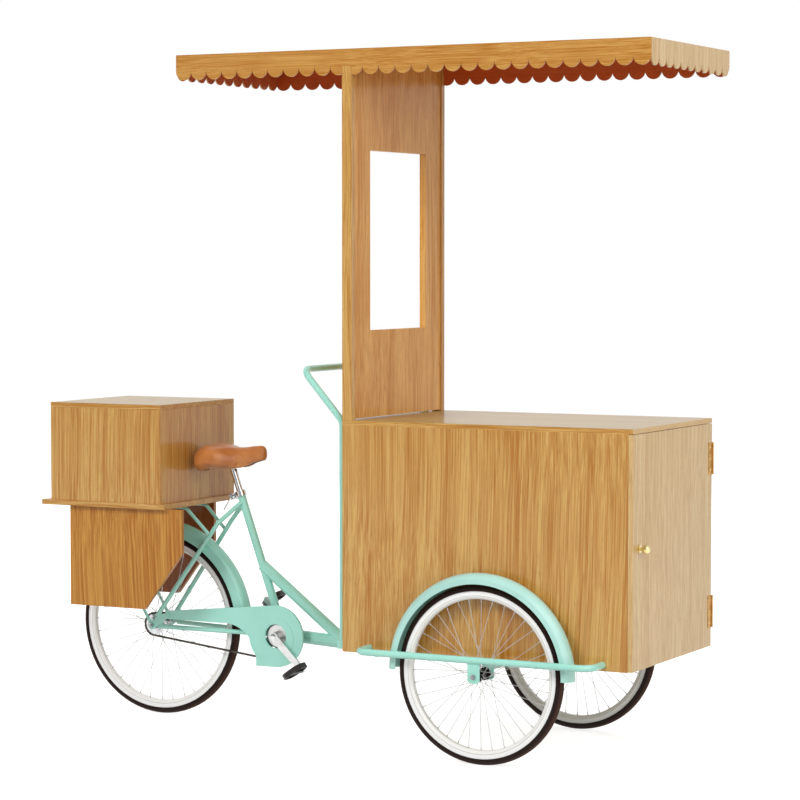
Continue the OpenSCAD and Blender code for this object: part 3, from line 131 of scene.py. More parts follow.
@dataclass(frozen=True)
class Finish:
    """A surface finish that becomes one procedural material."""

    name: str

    def material(self) -> bpy.types.Material:
        """Make the material, or give the one that is already made."""
        found = bpy.data.materials.get(self.name)
        if found:
            return found
        made = bpy.data.materials.new(self.name)
        made.use_nodes = True
        tree = made.node_tree
        tree.nodes.clear()
        shader = add(tree, "ShaderNodeBsdfPrincipled")
        add(tree, "ShaderNodeOutputMaterial", {"Surface": shader.outputs[0]})
        self.shade(tree, shader, add(tree, "ShaderNodeTexCoord").outputs["Object"])
        return made

    def shade(self, tree: bpy.types.NodeTree, shader: bpy.types.Node, place: bpy.types.NodeSocket) -> None:
        """Fill in the shader; each finish has its own.

        Args:
            tree: The material's nodes.
            shader: The shader to fill in.
            place: Object coordinates in metres.
        """
        raise NotImplementedError


@dataclass(frozen=True)
class OakVeneer(Finish):
    """Oak veneer under satin lacquer: straw and tan flakes, fine streaks and open pores along the grain."""

    grain: Grain
    straw: str = "#D5AA60"
    tan: str = "#B07020"
    line: str = "#93561A"
    pore: str = "#8A5220"
    offset: float = 0.0
    gloss: float = 0.6
    fineness: float = 1.0
    # Faces tinted with painted light and shade: axis, plane, distance and colour.
    stains: tuple[tuple[int, float, float, str], ...] = ()
    cover: float = 0.8

    def layer(self, tree: bpy.types.NodeTree, place: bpy.types.NodeSocket, across_mm: float, along_mm: float,
              detail: float) -> bpy.types.NodeSocket:
        """Add one noise that is drawn out along the grain.

        Args:
            tree: The material's nodes.
            place: The bent object coordinates.
            across_mm: Width of a streak.
            along_mm: Length of a streak.
            detail: Octaves of the noise.

        Returns:
            The noise value.
        """
        spread = add(tree, "ShaderNodeMapping", {"Vector": place},
                     {"Scale": self.grain.scale(across_mm * self.fineness, along_mm),
                      "Location": (self.offset + across_mm, 0.37 * self.offset, 0.61 * self.offset)})
        return add(tree, "ShaderNodeTexNoise", {"Vector": spread.outputs[0]},
                   {"Scale": 1.0, "Detail": detail, "Roughness": 0.55}).outputs["Fac"]

    def shade(self, tree: bpy.types.NodeTree, shader: bpy.types.Node, place: bpy.types.NodeSocket) -> None:
        """Bands 66 mm wide, streaks 11 mm, lines 4 mm, dark growth lines 4.5 mm and pores 1.6 mm wide."""
        wander = add(tree, "ShaderNodeTexNoise", {"Vector": place}, {"Scale": 1.3, "Detail": 0.0})
        shift = add(tree, "ShaderNodeVectorMath", {0: wander.outputs["Color"]}, {1: (0.06, 0.06, 0.06)},
                    operation="MULTIPLY")
        bent = add(tree, "ShaderNodeVectorMath", {0: place, 1: shift.outputs[0]}, operation="ADD").outputs[0]
        bands = self.layer(tree, bent, 66.0, 2000.0, 2.0)
        streaks = self.layer(tree, bent, 11.0, 1100.0, 3.0)
        lines = self.layer(tree, bent, 4.0, 600.0, 2.0)
        rings = self.layer(tree, bent, 4.5, 800.0, 1.0)
        pores = self.layer(tree, bent, 1.6, 42.0, 2.0)
        mixed = add(tree, "ShaderNodeMix", {2: bands, 3: streaks}, {0: 0.5})
        mixed = add(tree, "ShaderNodeMix", {2: mixed.outputs[0], 3: lines}, {0: 0.46})
        tone = add(tree, "ShaderNodeValToRGB", {"Fac": mixed.outputs[0]},
                   stops=((0.41, self.tan), (0.59, self.straw)))
        growth = add(tree, "ShaderNodeMapRange", {"Value": rings},
                     {"From Min": 0.6, "From Max": 0.78, "To Min": 0.0, "To Max": 0.5})
        lined = add(tree, "ShaderNodeMix", {0: growth.outputs[0], 6: tone.outputs[0]}, {7: linear(self.line)},
                    data_type="RGBA")
        depth = add(tree, "ShaderNodeMapRange", {"Value": pores},
                    {"From Min": 0.56, "From Max": 0.74, "To Min": 0.0, "To Max": 0.5})
        colour = add(tree, "ShaderNodeMix", {0: depth.outputs[0], 6: lined.outputs[2]}, {7: linear(self.pore)},
                     data_type="RGBA")
        for stain in self.stains:
            colour = self.paint_face_light(tree, colour.outputs[2], place, stain)
        sheen = add(tree, "ShaderNodeMapRange", {"Value": streaks}, {"To Min": 0.36, "To Max": 0.5})
        bump = add(tree, "ShaderNodeBump", {"Height": depth.outputs[0]},
                   {"Strength": 0.2, "Distance": 0.0004}, invert=True)
        feed(tree, shader, colour.outputs[2], sheen, bump,
             {"IOR": 1.5, "Specular IOR Level": 0.18, "Coat Weight": self.gloss, "Coat Roughness": 0.1})

    def paint_face_light(self, tree: bpy.types.NodeTree, colour: bpy.types.NodeSocket, place: bpy.types.NodeSocket,
                   stain: tuple[int, float, float, str]) -> bpy.types.Node:
        """Tint the faces that lie within a distance of a plane with painted light and shade.

        Args:
            tree: The material's nodes.
            colour: The bare wood's colour.
            place: Object coordinates in metres.
            stain: Axis, place of the plane, distance from it and the colour that is painted there.

        Returns:
            A colour mix node.
        """
        axis, middle, reach, tint = stain
        parts = add(tree, "ShaderNodeSeparateXYZ", {0: place})
        inside = add(tree, "ShaderNodeMath", {0: parts.outputs[axis]}, {1: middle, 2: reach}, operation="COMPARE")
        cover = add(tree, "ShaderNodeMath", {0: inside.outputs[0]}, {1: self.cover}, operation="MULTIPLY")
        return add(tree, "ShaderNodeMix", {0: cover.outputs[0], 6: colour}, {7: linear(tint)}, data_type="RGBA")


@dataclass(frozen=True)
class EnamelPaint(Finish):
    """Stoved enamel on steel: an even glossy colour, faintly clouded, with a faint orange peel."""

    colour: str
    shade_colour: str

    def shade(self, tree: bpy.types.NodeTree, shader: bpy.types.Node, place: bpy.types.NodeSocket) -> None:
        """Cloudy colour at about 160 mm, orange peel at about 4 mm."""
        cloud = add(tree, "ShaderNodeTexNoise", {"Vector": place}, {"Scale": 6.0, "Detail": 3.0})
        tone = add(tree, "ShaderNodeValToRGB", {"Fac": cloud.outputs["Fac"]},
                   stops=((0.35, self.shade_colour), (0.6, self.colour)))
        peel = add(tree, "ShaderNodeTexNoise", {"Vector": place}, {"Scale": 250.0, "Detail": 1.0})
        rough = add(tree, "ShaderNodeMapRange", {"Value": cloud.outputs["Fac"]}, {"To Min": 0.26, "To Max": 0.36})
        bump = add(tree, "ShaderNodeBump", {"Height": peel.outputs["Fac"]}, {"Strength": 0.04, "Distance": 0.0005})
        feed(tree, shader, tone.outputs[0], rough, bump, {"IOR": 1.5, "Coat Weight": 0.35, "Coat Roughness": 0.08})


@dataclass(frozen=True)
class TyreRubber(Finish):
    """Vulcanised rubber: brown-black, dull, with a fine bloom of dust on the tread."""

    def shade(self, tree: bpy.types.NodeTree, shader: bpy.types.Node, place: bpy.types.NodeSocket) -> None:
        """The piece's own attribute gives the tread; grit at about 1 mm, drawn that coarse so that it shows."""
        tread = add(tree, "ShaderNodeAttribute", attribute_name="tread")
        grit = add(tree, "ShaderNodeTexNoise", {"Vector": place}, {"Scale": 900.0, "Detail": 3.0})
        wear = add(tree, "ShaderNodeMath", {0: tread.outputs["Fac"], 1: grit.outputs["Fac"]}, operation="MULTIPLY")
        tone = add(tree, "ShaderNodeValToRGB", {"Fac": wear.outputs[0]},
                   stops=((0.0, "#1E0F09"), (0.6, "#44291D")))
        rough = add(tree, "ShaderNodeMapRange", {"Value": grit.outputs["Fac"]}, {"To Min": 0.55, "To Max": 0.8})
        bump = add(tree, "ShaderNodeBump", {"Height": grit.outputs["Fac"]}, {"Strength": 0.2, "Distance": 0.0003})
        feed(tree, shader, tone.outputs[0], rough, bump, {"IOR": 1.52, "Specular IOR Level": 0.2})


@dataclass(frozen=True)
class RimAlloy(Finish):
    """Silver-white lacquered alloy: greyer against the tyre, a bright brake track, a grey line of painted shade in the
    groove below it and fine turning marks.
    """

    def shade(self, tree: bpy.types.NodeTree, shader: bpy.types.Node, place: bpy.types.NodeSocket) -> None:
        """The piece's own attribute runs from the tyre at 0 to the spokes at 1 and places the grey line of painted
        shade.
        """
        depth = add(tree, "ShaderNodeAttribute", attribute_name="depth")
        # The grey stop at 0.56 is painted shade in the groove at the brake track's edge.
        tone = add(tree, "ShaderNodeValToRGB", {"Fac": depth.outputs["Fac"]},
                   stops=((0.0, "#D6D4CE"), (0.06, "#FCFCFB"), (0.52, "#FCFCFB"), (0.56, "#B3AC9C"), (0.62, "#F8F7F4"),
                          (1.0, "#F1EFEA")))
        marks = add(tree, "ShaderNodeTexNoise", {"W": depth.outputs["Fac"]}, {"Scale": 90.0, "Detail": 2.0},
                    noise_dimensions="1D")
        rough = add(tree, "ShaderNodeMapRange", {"Value": marks.outputs["Fac"]}, {"To Min": 0.22, "To Max": 0.4})
        feed(tree, shader, tone.outputs[0], rough, values={"Coat Weight": 0.6})


@dataclass(frozen=True)
class Metal(Finish):
    """Plated or turned metal: one bright colour, fine hairlines and smudged gloss."""

    bright: str
    dull: str
    roughness: tuple[float, float] = (0.12, 0.28)
    hairline_mm: float = 0.6
    metallic: float = 1.0

    def shade(self, tree: bpy.types.NodeTree, shader: bpy.types.Node, place: bpy.types.NodeSocket) -> None:
        """Smudges at about 25 mm, hairlines at the stated width."""
        smudge = add(tree, "ShaderNodeTexNoise", {"Vector": place}, {"Scale": 40.0, "Detail": 4.0})
        hair = add(tree, "ShaderNodeTexNoise", {"Vector": place},
                   {"Scale": 1.0 / (self.hairline_mm * MM), "Detail": 2.0})
        tone = add(tree, "ShaderNodeValToRGB", {"Fac": smudge.outputs["Fac"]},
                   stops=((0.3, self.dull), (0.65, self.bright)))
        rough = add(tree, "ShaderNodeMapRange", {"Value": smudge.outputs["Fac"]},
                    {"To Min": self.roughness[1], "To Max": self.roughness[0]})
        bump = add(tree, "ShaderNodeBump", {"Height": hair.outputs["Fac"]}, {"Strength": 0.05, "Distance": 0.0002})
        feed(tree, shader, tone.outputs[0], rough, bump, {"Metallic": self.metallic})


@dataclass(frozen=True)
class MouldedNylon(Finish):
    """Moulded black nylon: brown-black, half matt, with a spark-eroded grain."""

    def shade(self, tree: bpy.types.NodeTree, shader: bpy.types.Node, place: bpy.types.NodeSocket) -> None:
        """Grain at about 1.2 mm, scuffs at about 20 mm."""
        scuff = add(tree, "ShaderNodeTexNoise", {"Vector": place}, {"Scale": 50.0, "Detail": 4.0})
        tone = add(tree, "ShaderNodeValToRGB", {"Fac": scuff.outputs["Fac"]},
                   stops=((0.4, "#140E0D"), (0.75, "#2A201D")))
        grain = add(tree, "ShaderNodeTexVoronoi", {"Vector": place}, {"Scale": 800.0})
        bump = add(tree, "ShaderNodeBump", {"Height": grain.outputs["Distance"]}, {"Strength": 0.2, "Distance": 0.0002})
        rough = add(tree, "ShaderNodeMapRange", {"Value": scuff.outputs["Fac"]}, {"To Min": 0.42, "To Max": 0.6})
        feed(tree, shader, tone.outputs[0], rough, bump)


@dataclass(frozen=True)
class SaddleLeather(Finish):
    """Waxed saddle leather: warm brown in soft clouds, pebbled grain."""

    def shade(self, tree: bpy.types.NodeTree, shader: bpy.types.Node, place: bpy.types.NodeSocket) -> None:
        """Pebbles at about 2.2 mm, colour clouds at about 60 mm."""
        cloud = add(tree, "ShaderNodeTexNoise", {"Vector": place}, {"Scale": 16.0, "Detail": 4.0})
        tone = add(tree, "ShaderNodeValToRGB", {"Fac": cloud.outputs["Fac"]},
                   stops=((0.3, "#AE6228"), (0.7, "#CC8546")))
        pebble = add(tree, "ShaderNodeTexVoronoi", {"Vector": place}, {"Scale": 450.0}, feature="SMOOTH_F1")
        bump = add(tree, "ShaderNodeBump", {"Height": pebble.outputs["Distance"]},
                   {"Strength": 0.25, "Distance": 0.0004})
        rough = add(tree, "ShaderNodeMapRange", {"Value": cloud.outputs["Fac"]}, {"To Min": 0.24, "To Max": 0.38})
        feed(tree, shader, tone.outputs[0], rough, bump, {"Sheen Weight": 0.1})


@dataclass(frozen=True)
class PaperFloor(Finish):
    """White backdrop paper: matt, nearly white, with a faint tooth."""

    lift: float = 0.76

    def shade(self, tree: bpy.types.NodeTree, shader: bpy.types.Node, place: bpy.types.NodeSocket) -> None:
        """Tooth at about 5 mm; brighter to the eye, so that the paper reads white behind the cart."""
        tooth = add(tree, "ShaderNodeTexNoise", {"Vector": place}, {"Scale": 200.0, "Detail": 2.0})
        tone = add(tree, "ShaderNodeValToRGB", {"Fac": tooth.outputs["Fac"]},
                   stops=((0.3, "#C6C6C4"), (0.7, "#CCCCCA")))
        tree.links.new(tone.outputs[0], shader.inputs["Base Color"])
        shader.inputs["Roughness"].default_value = 0.9
        shader.inputs["Specular IOR Level"].default_value = 0.1
        path = add(tree, "ShaderNodeLightPath")
        shader.inputs["Emission Color"].default_value = (1.0, 1.0, 1.0, 1.0)
        seen = add(tree, "ShaderNodeMath", {0: path.outputs["Is Camera Ray"], 1: path.outputs["Is Glossy Ray"]},
                   operation="MAXIMUM")
        seen = add(tree, "ShaderNodeMath", {0: seen.outputs[0], 1: path.outputs["Is Transmission Ray"]},
                   operation="MAXIMUM")
        lift = add(tree, "ShaderNodeMath", {0: seen.outputs[0]}, {1: self.lift}, operation="MULTIPLY")
        tree.links.new(lift.outputs[0], shader.inputs["Emission Strength"])


# Tints of single faces, all painted light and shade: a painted reflection on tops, red-brown and dark painted shade on
# inner faces, a pale painted sheen on the front edge
PAINTED_TOP_REFLECTION = "#A49562"
RED_PAINTED_SHADE = "#C04A1C"
DARK_PAINTED_SHADE = "#853C18"
PAINTED_EDGE_SHEEN = "#DFBE88"
MINT = EnamelPaint("mint_enamel", "#A8E8D8", "#9FE0CF")
# A paler mint for the front fenders, painting the sheen on them.
PAINTED_SHEEN_MINT = EnamelPaint("mint_enamel_painted_sheen", "#B6E5DB", "#ADDDD2")
TYRE = TyreRubber("tyre_rubber")
RIM = RimAlloy("rim_alloy")
CHROME = Metal("chrome_plate", "#E6E8EA", "#C9CCCF", (0.08, 0.2))
STEEL = Metal("turned_steel", "#B9BABB", "#8E8F90", (0.22, 0.4))
SPOKE = Metal("galvanised_wire", "#D0D1D0", "#B8B9B8", (0.3, 0.45), metallic=0.35)
ALLOY = Metal("polished_alloy", "#E9E9E8", "#D2D2D1", (0.25, 0.42))
OILED = Metal("oiled_chain_steel", "#5A544D", "#3A352F", (0.3, 0.5))
BRASS = Metal("satin_brass", "#ECDDA8", "#D8C080", (0.16, 0.32))
AGED_BRASS = Metal("aged_brass", "#CFA25A", "#A87730", (0.26, 0.44))
# Dark steel for the saddle frame; on the front hubs it paints the dark reflection of chrome.
DARK_STEEL_AND_PAINTED_REFLECTION = Metal("dark_steel_and_painted_reflection", "#3C3937", "#211F1E", (0.22, 0.38))
ZINC = Metal("zinc_plate", "#D8DADB", "#BFC2C4", (0.18, 0.32))
NYLON = MouldedNylon("moulded_nylon")
LEATHER = SaddleLeather("saddle_leather")


def oak(name: str, grain: Grain, offset: float = 0.0, **tones: Any) -> OakVeneer:
    """Give the oak finish for one board, with its own stretch of the pattern."""
    return OakVeneer("oak_veneer_" + name, grain, offset=offset, **tones)


def dress(nodes: Iterable[str], finish: Finish) -> None:
    """Give construction nodes a finish.

    Args:
        nodes: Names of the nodes.
        finish: The finish they share.
    """
    for name in nodes:
        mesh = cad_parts[name].data
        mesh.materials.clear()
        mesh.materials.append(finish.material())
        LOG.info("dressed %s in %s", name, finish.name)


def grid_faces(nu: int, nv: int, wrap_u: bool, wrap_v: bool) -> np.ndarray:
    """Give the quads between neighbours of a grid.

    Args:
        nu: Rows of the grid.
        nv: Columns of the grid.
        wrap_u: Whether the last row joins the first.
        wrap_v: Whether the last column joins the first.

    Returns:
        Corner numbers of shape (n, 4).
    """
    i, j = np.meshgrid(np.arange(nu if wrap_u else nu - 1), np.arange(nv if wrap_v else nv - 1), indexing="ij")
    k, m = (i + 1) % nu, (j + 1) % nv
    return np.stack([i * nv + j, k * nv + j, k * nv + m, i * nv + m], axis=-1).reshape(-1, 4)


def many(name: str, grids: np.ndarray, wrap_u: bool, wrap_v: bool, smooth: bool = True) -> bpy.types.Object:
    """Make one piece from several grids of the same size.

    Args:
        name: The piece's name.
        grids: An array of shape (n, u, v, 3) in metres.
        wrap_u: Whether the last row of each joins its first.
        wrap_v: Whether the last column of each joins its first.
        smooth: Whether the faces are shaded smooth.

    Returns:
        The new object.
    """
    n, nu, nv = grids.shape[:3]
    faces = grid_faces(nu, nv, wrap_u, wrap_v)[None] + (np.arange(n) * nu * nv)[:, None, None]
    return solid(name, grids.reshape(-1, 3), faces.reshape(-1, 4), smooth=smooth)


def frame_of(axis: np.ndarray) -> tuple[np.ndarray, np.ndarray, np.ndarray]:
    """Give the unit axis and two unit directions square to it, in a right-handed order."""
    axis = np.asarray(axis, dtype=float) / np.linalg.norm(axis)
    side = np.cross(axis, [0.0, 0.0, 1.0] if abs(axis[2]) < 0.9 else [1.0, 0.0, 0.0])
    side /= np.linalg.norm(side)
    return axis, side, np.cross(axis, side)


def screw_heads(name: str, places: np.ndarray, axis: Sequence[float], radius: float) -> bpy.types.Object:
    """Make raised screw heads: a disc whose height falls as the fourth power of the radius, less a cross slot.

    Args:
        name: The piece's name.
        places: Centres on the plate's face, of shape (n, 3).
        axis: The direction out of the plate.
        radius: Radius of a head.

    Returns:
        The new object.
    """
    out, side, up = frame_of(np.array(axis))
    around, sunk, height, slot_depth = 32, 0.4 * MM, 0.9 * MM, 0.6 * MM
    share = np.array([1.0, 1.0, 0.94, 0.8, 0.62, 0.46, 0.3, 0.16, 0.004])[None, :]
    u = np.linspace(0.0, TAU, around, endpoint=False)[:, None]
    dome = height * (1.0 - np.broadcast_to(share[:, 1:], (around, share.shape[1] - 1)) ** 4)
    lift = np.concatenate([np.full((around, 1), -sunk), dome], axis=1)
    slot_turn, slot_half, slot_reach = 0.4, 0.13, 0.7
    bar = np.minimum(np.abs(share * np.cos(u + slot_turn)), np.abs(share * np.sin(u + slot_turn)))
    lift = lift - np.where((bar < slot_half) & (share < slot_reach), slot_depth, 0.0)
    grid = ((radius * share * np.cos(u))[..., None] * side + (radius * share * np.sin(u))[..., None] * up
            + lift[..., None] * out)
    return many(name, places[:, None, None, :] + grid[None], True, False)


def weld_curve(foot: Sequence[float], along: Sequence[float], girth: float, post: Sequence[float],
               post_along: Sequence[float], post_girth: float, steps: int = 96) -> np.ndarray:
    """Find where a tube leaves another: the lines of its wall, each followed to the other tube's wall.

    Args:
        foot: A point on the branch's axis.
        along: The branch's direction, away from the other tube.
        girth: Radius of the branch.
        post: A point on the other tube's axis.
        post_along: The other tube's direction.
        post_girth: Radius of the other tube.
        steps: Points round the branch.

    Returns:
        The curve's points, of shape (steps, 3).
    """
    d, side, up = frame_of(np.array(along))
    axis = frame_of(np.array(post_along))[0]
    u = np.linspace(0.0, TAU, steps, endpoint=False)[:, None]
    wall = np.array(foot) + girth * (np.cos(u) * side + np.sin(u) * up)
    w = wall - np.array(post)
    w = w - (w @ axis)[:, None] * axis
    v = d - (d @ axis) * axis
    a, b, c = v @ v, w @ v, np.sum(w * w, axis=1) - post_girth ** 2
    return wall + ((-b + np.sqrt(np.clip(b * b - a * c, 0.0, None))) / a)[:, None] * d


def weld_beads(name: str, curves: np.ndarray, girth: float) -> bpy.types.Object:
    """Make weld beads: a small circle carried along each closed curve, swelling and shrinking in ripples.

    Args:
        name: The piece's name.
        curves: Closed curves of shape (n, steps, 3).
        girth: Radius of a bead.

    Returns:
        The new object.
    """
    steps = curves.shape[1]
    run = np.roll(curves, -1, axis=1) - np.roll(curves, 1, axis=1)
    run /= np.linalg.norm(run, axis=2, keepdims=True)
    out = curves - curves.mean(axis=1, keepdims=True)
    out -= np.sum(out * run, axis=2, keepdims=True) * run
    out /= np.linalg.norm(out, axis=2, keepdims=True)
    over = np.cross(out, run)
    ripples, ripple_depth = 24.0, 0.16
    b = np.linspace(0.0, TAU, 8, endpoint=False)[None, None, :, None]
    r = girth * (1.0 + ripple_depth * np.sin(np.arange(steps) * TAU * ripples / steps))[None, :, None, None]
    grid = curves[:, :, None] + r * (np.cos(b) * out[:, :, None] + np.sin(b) * over[:, :, None])
    return many(name, grid, True, True)


def grid_mesh(name: str, points: np.ndarray, wrap_u: bool, wrap_v: bool,
              attributes: dict[str, np.ndarray] | None = None, smooth: bool = True) -> bpy.types.Object:
    """Make a piece from a grid of points, as quads between neighbours.

    Args:
        name: The piece's name.
        points: An array of shape (u, v, 3) in metres.
        wrap_u: Whether the last row joins the first.
        wrap_v: Whether the last column joins the first.
        attributes: Point attributes of shape (u, v).
        smooth: Whether the faces are shaded smooth.

    Returns:
        The new object, at the origin.
    """
    return solid(name, points.reshape(-1, 3), grid_faces(*points.shape[:2], wrap_u, wrap_v),
                 {key: value.reshape(-1) for key, value in (attributes or {}).items()}, smooth)


def solid(name: str, points: np.ndarray, faces: np.ndarray, attributes: dict[str, np.ndarray] | None = None,
          smooth: bool = True) -> bpy.types.Object:
    """Make a piece from points and faces with the same number of corners.

    Args:
        name: The piece's name.
        points: An array of shape (n, 3) in metres.
        faces: An array of shape (m, 3) or (m, 4).
        attributes: Point attributes of shape (n,).
        smooth: Whether the faces are shaded smooth.

    Returns:
        The new object, at the origin.
    """
    mesh = bpy.data.meshes.new(name)
    mesh.from_pydata(points.tolist(), [], faces.tolist())
    for key, value in (attributes or {}).items():
        mesh.attributes.new(key, "FLOAT", "POINT").data.foreach_set("value", value.astype(np.float32))
    mesh.polygons.foreach_set("use_smooth", np.full(len(mesh.polygons), smooth))
    mesh.update()
    piece = bpy.data.objects.new(name, mesh)
    bpy.context.scene.collection.objects.link(piece)
    return piece


def place_piece(piece: bpy.types.Object, body: str, slot: str, finish: Finish, *nodes: str) -> None:
    """Dress a new piece, put it on its body and let it stand for the nodes it replaces.

    Args:
        piece: The piece.
        body: The body it rides on.
        slot: A material slot's name; not used.
        finish: Its finish.
        nodes: Construction nodes that it replaces.
    """
    piece.data.materials.append(finish.material())
    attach(piece, body)
    if nodes:
        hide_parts(*nodes)
    LOG.info("placed %s on %s, %d faces", piece.name, body, len(piece.data.polygons))


def swell(piece: bpy.types.Object, voxel: float, pressure: float, cap: float) -> None:
    """Blow a closed pad up from inside as cloth over 20 frames, and keep the shape.

    Args:
        piece: The pad, whose modifiers are applied first.
        voxel: Mesh size in metres of the even mesh that is blown up.
        pressure: Pressure inside.
        cap: The furthest that a point may move, in metres.
    """
    scene, frames = bpy.context.scene, 20
    graph = bpy.context.evaluated_depsgraph_get()
    drawn, piece.data = piece.data, bpy.data.meshes.new_from_object(piece.evaluated_get(graph), depsgraph=graph)
    piece.modifiers.clear()
    bpy.data.meshes.remove(drawn)
    piece.data.name = piece.name
    piece.data.remesh_voxel_size = voxel
    with bpy.context.temp_override(object=piece, active_object=piece, selected_objects=[piece]):
        bpy.ops.object.voxel_remesh()
    before = np.empty(3 * len(piece.data.vertices), dtype=np.float32)
    piece.data.vertices.foreach_get("co", before)
    cloth = piece.modifiers.new("cloth", "CLOTH")
    cloth.settings.use_pressure = True
    cloth.settings.uniform_pressure_force = pressure
    cloth.settings.effector_weights.gravity = 0.0
    cloth.collision_settings.use_collision = False
    cloth.point_cache.frame_start, cloth.point_cache.frame_end = 1, frames
    for frame_number in range(1, frames + 1):
        scene.frame_set(frame_number)
    after = np.empty_like(before)
    piece.evaluated_get(bpy.context.evaluated_depsgraph_get()).data.vertices.foreach_get("co", after)
    move = (after - before).reshape(-1, 3)
    far = np.linalg.norm(move, axis=1, keepdims=True)
    LOG.info("%s swells by %.1f mm at most before its cap", piece.name, far.max() / MM)
    move *= np.minimum(1.0, cap / np.maximum(far, 1e-9))
    piece.modifiers.remove(cloth)
    piece.data.vertices.foreach_set("co", (before.reshape(-1, 3) + move).ravel())
    piece.data.polygons.foreach_set("use_smooth", np.full(len(piece.data.polygons), True))
    piece.data.update()
    scene.frame_set(1)


def turned(name: str, profile: np.ndarray, origin: np.ndarray, axis: np.ndarray, steps: int,
           attributes: dict[str, np.ndarray] | None = None) -> bpy.types.Object:
    """Make a turned piece: a closed profile carried once around an axis.

    Args:
        name: The piece's name.
        profile: Points (radius, along) in metres, in a closed loop that turns anticlockwise.
        origin: A point on the axis.
        axis: The axis direction.
        steps: Steps around the axis.
        attributes: Values along the profile.

    Returns:
        The new object.
    """
    axis, side, up = frame_of(axis)
    a = np.linspace(0.0, TAU, steps, endpoint=False)[:, None, None]
    ring = np.cos(a) * side + np.sin(a) * up
    points = origin + profile[None, :, :1] * ring + profile[None, :, 1:] * axis
    spread = {key: np.broadcast_to(value, (steps, len(profile))) for key, value in (attributes or {}).items()}
    return grid_mesh(name, points, True, True, spread)


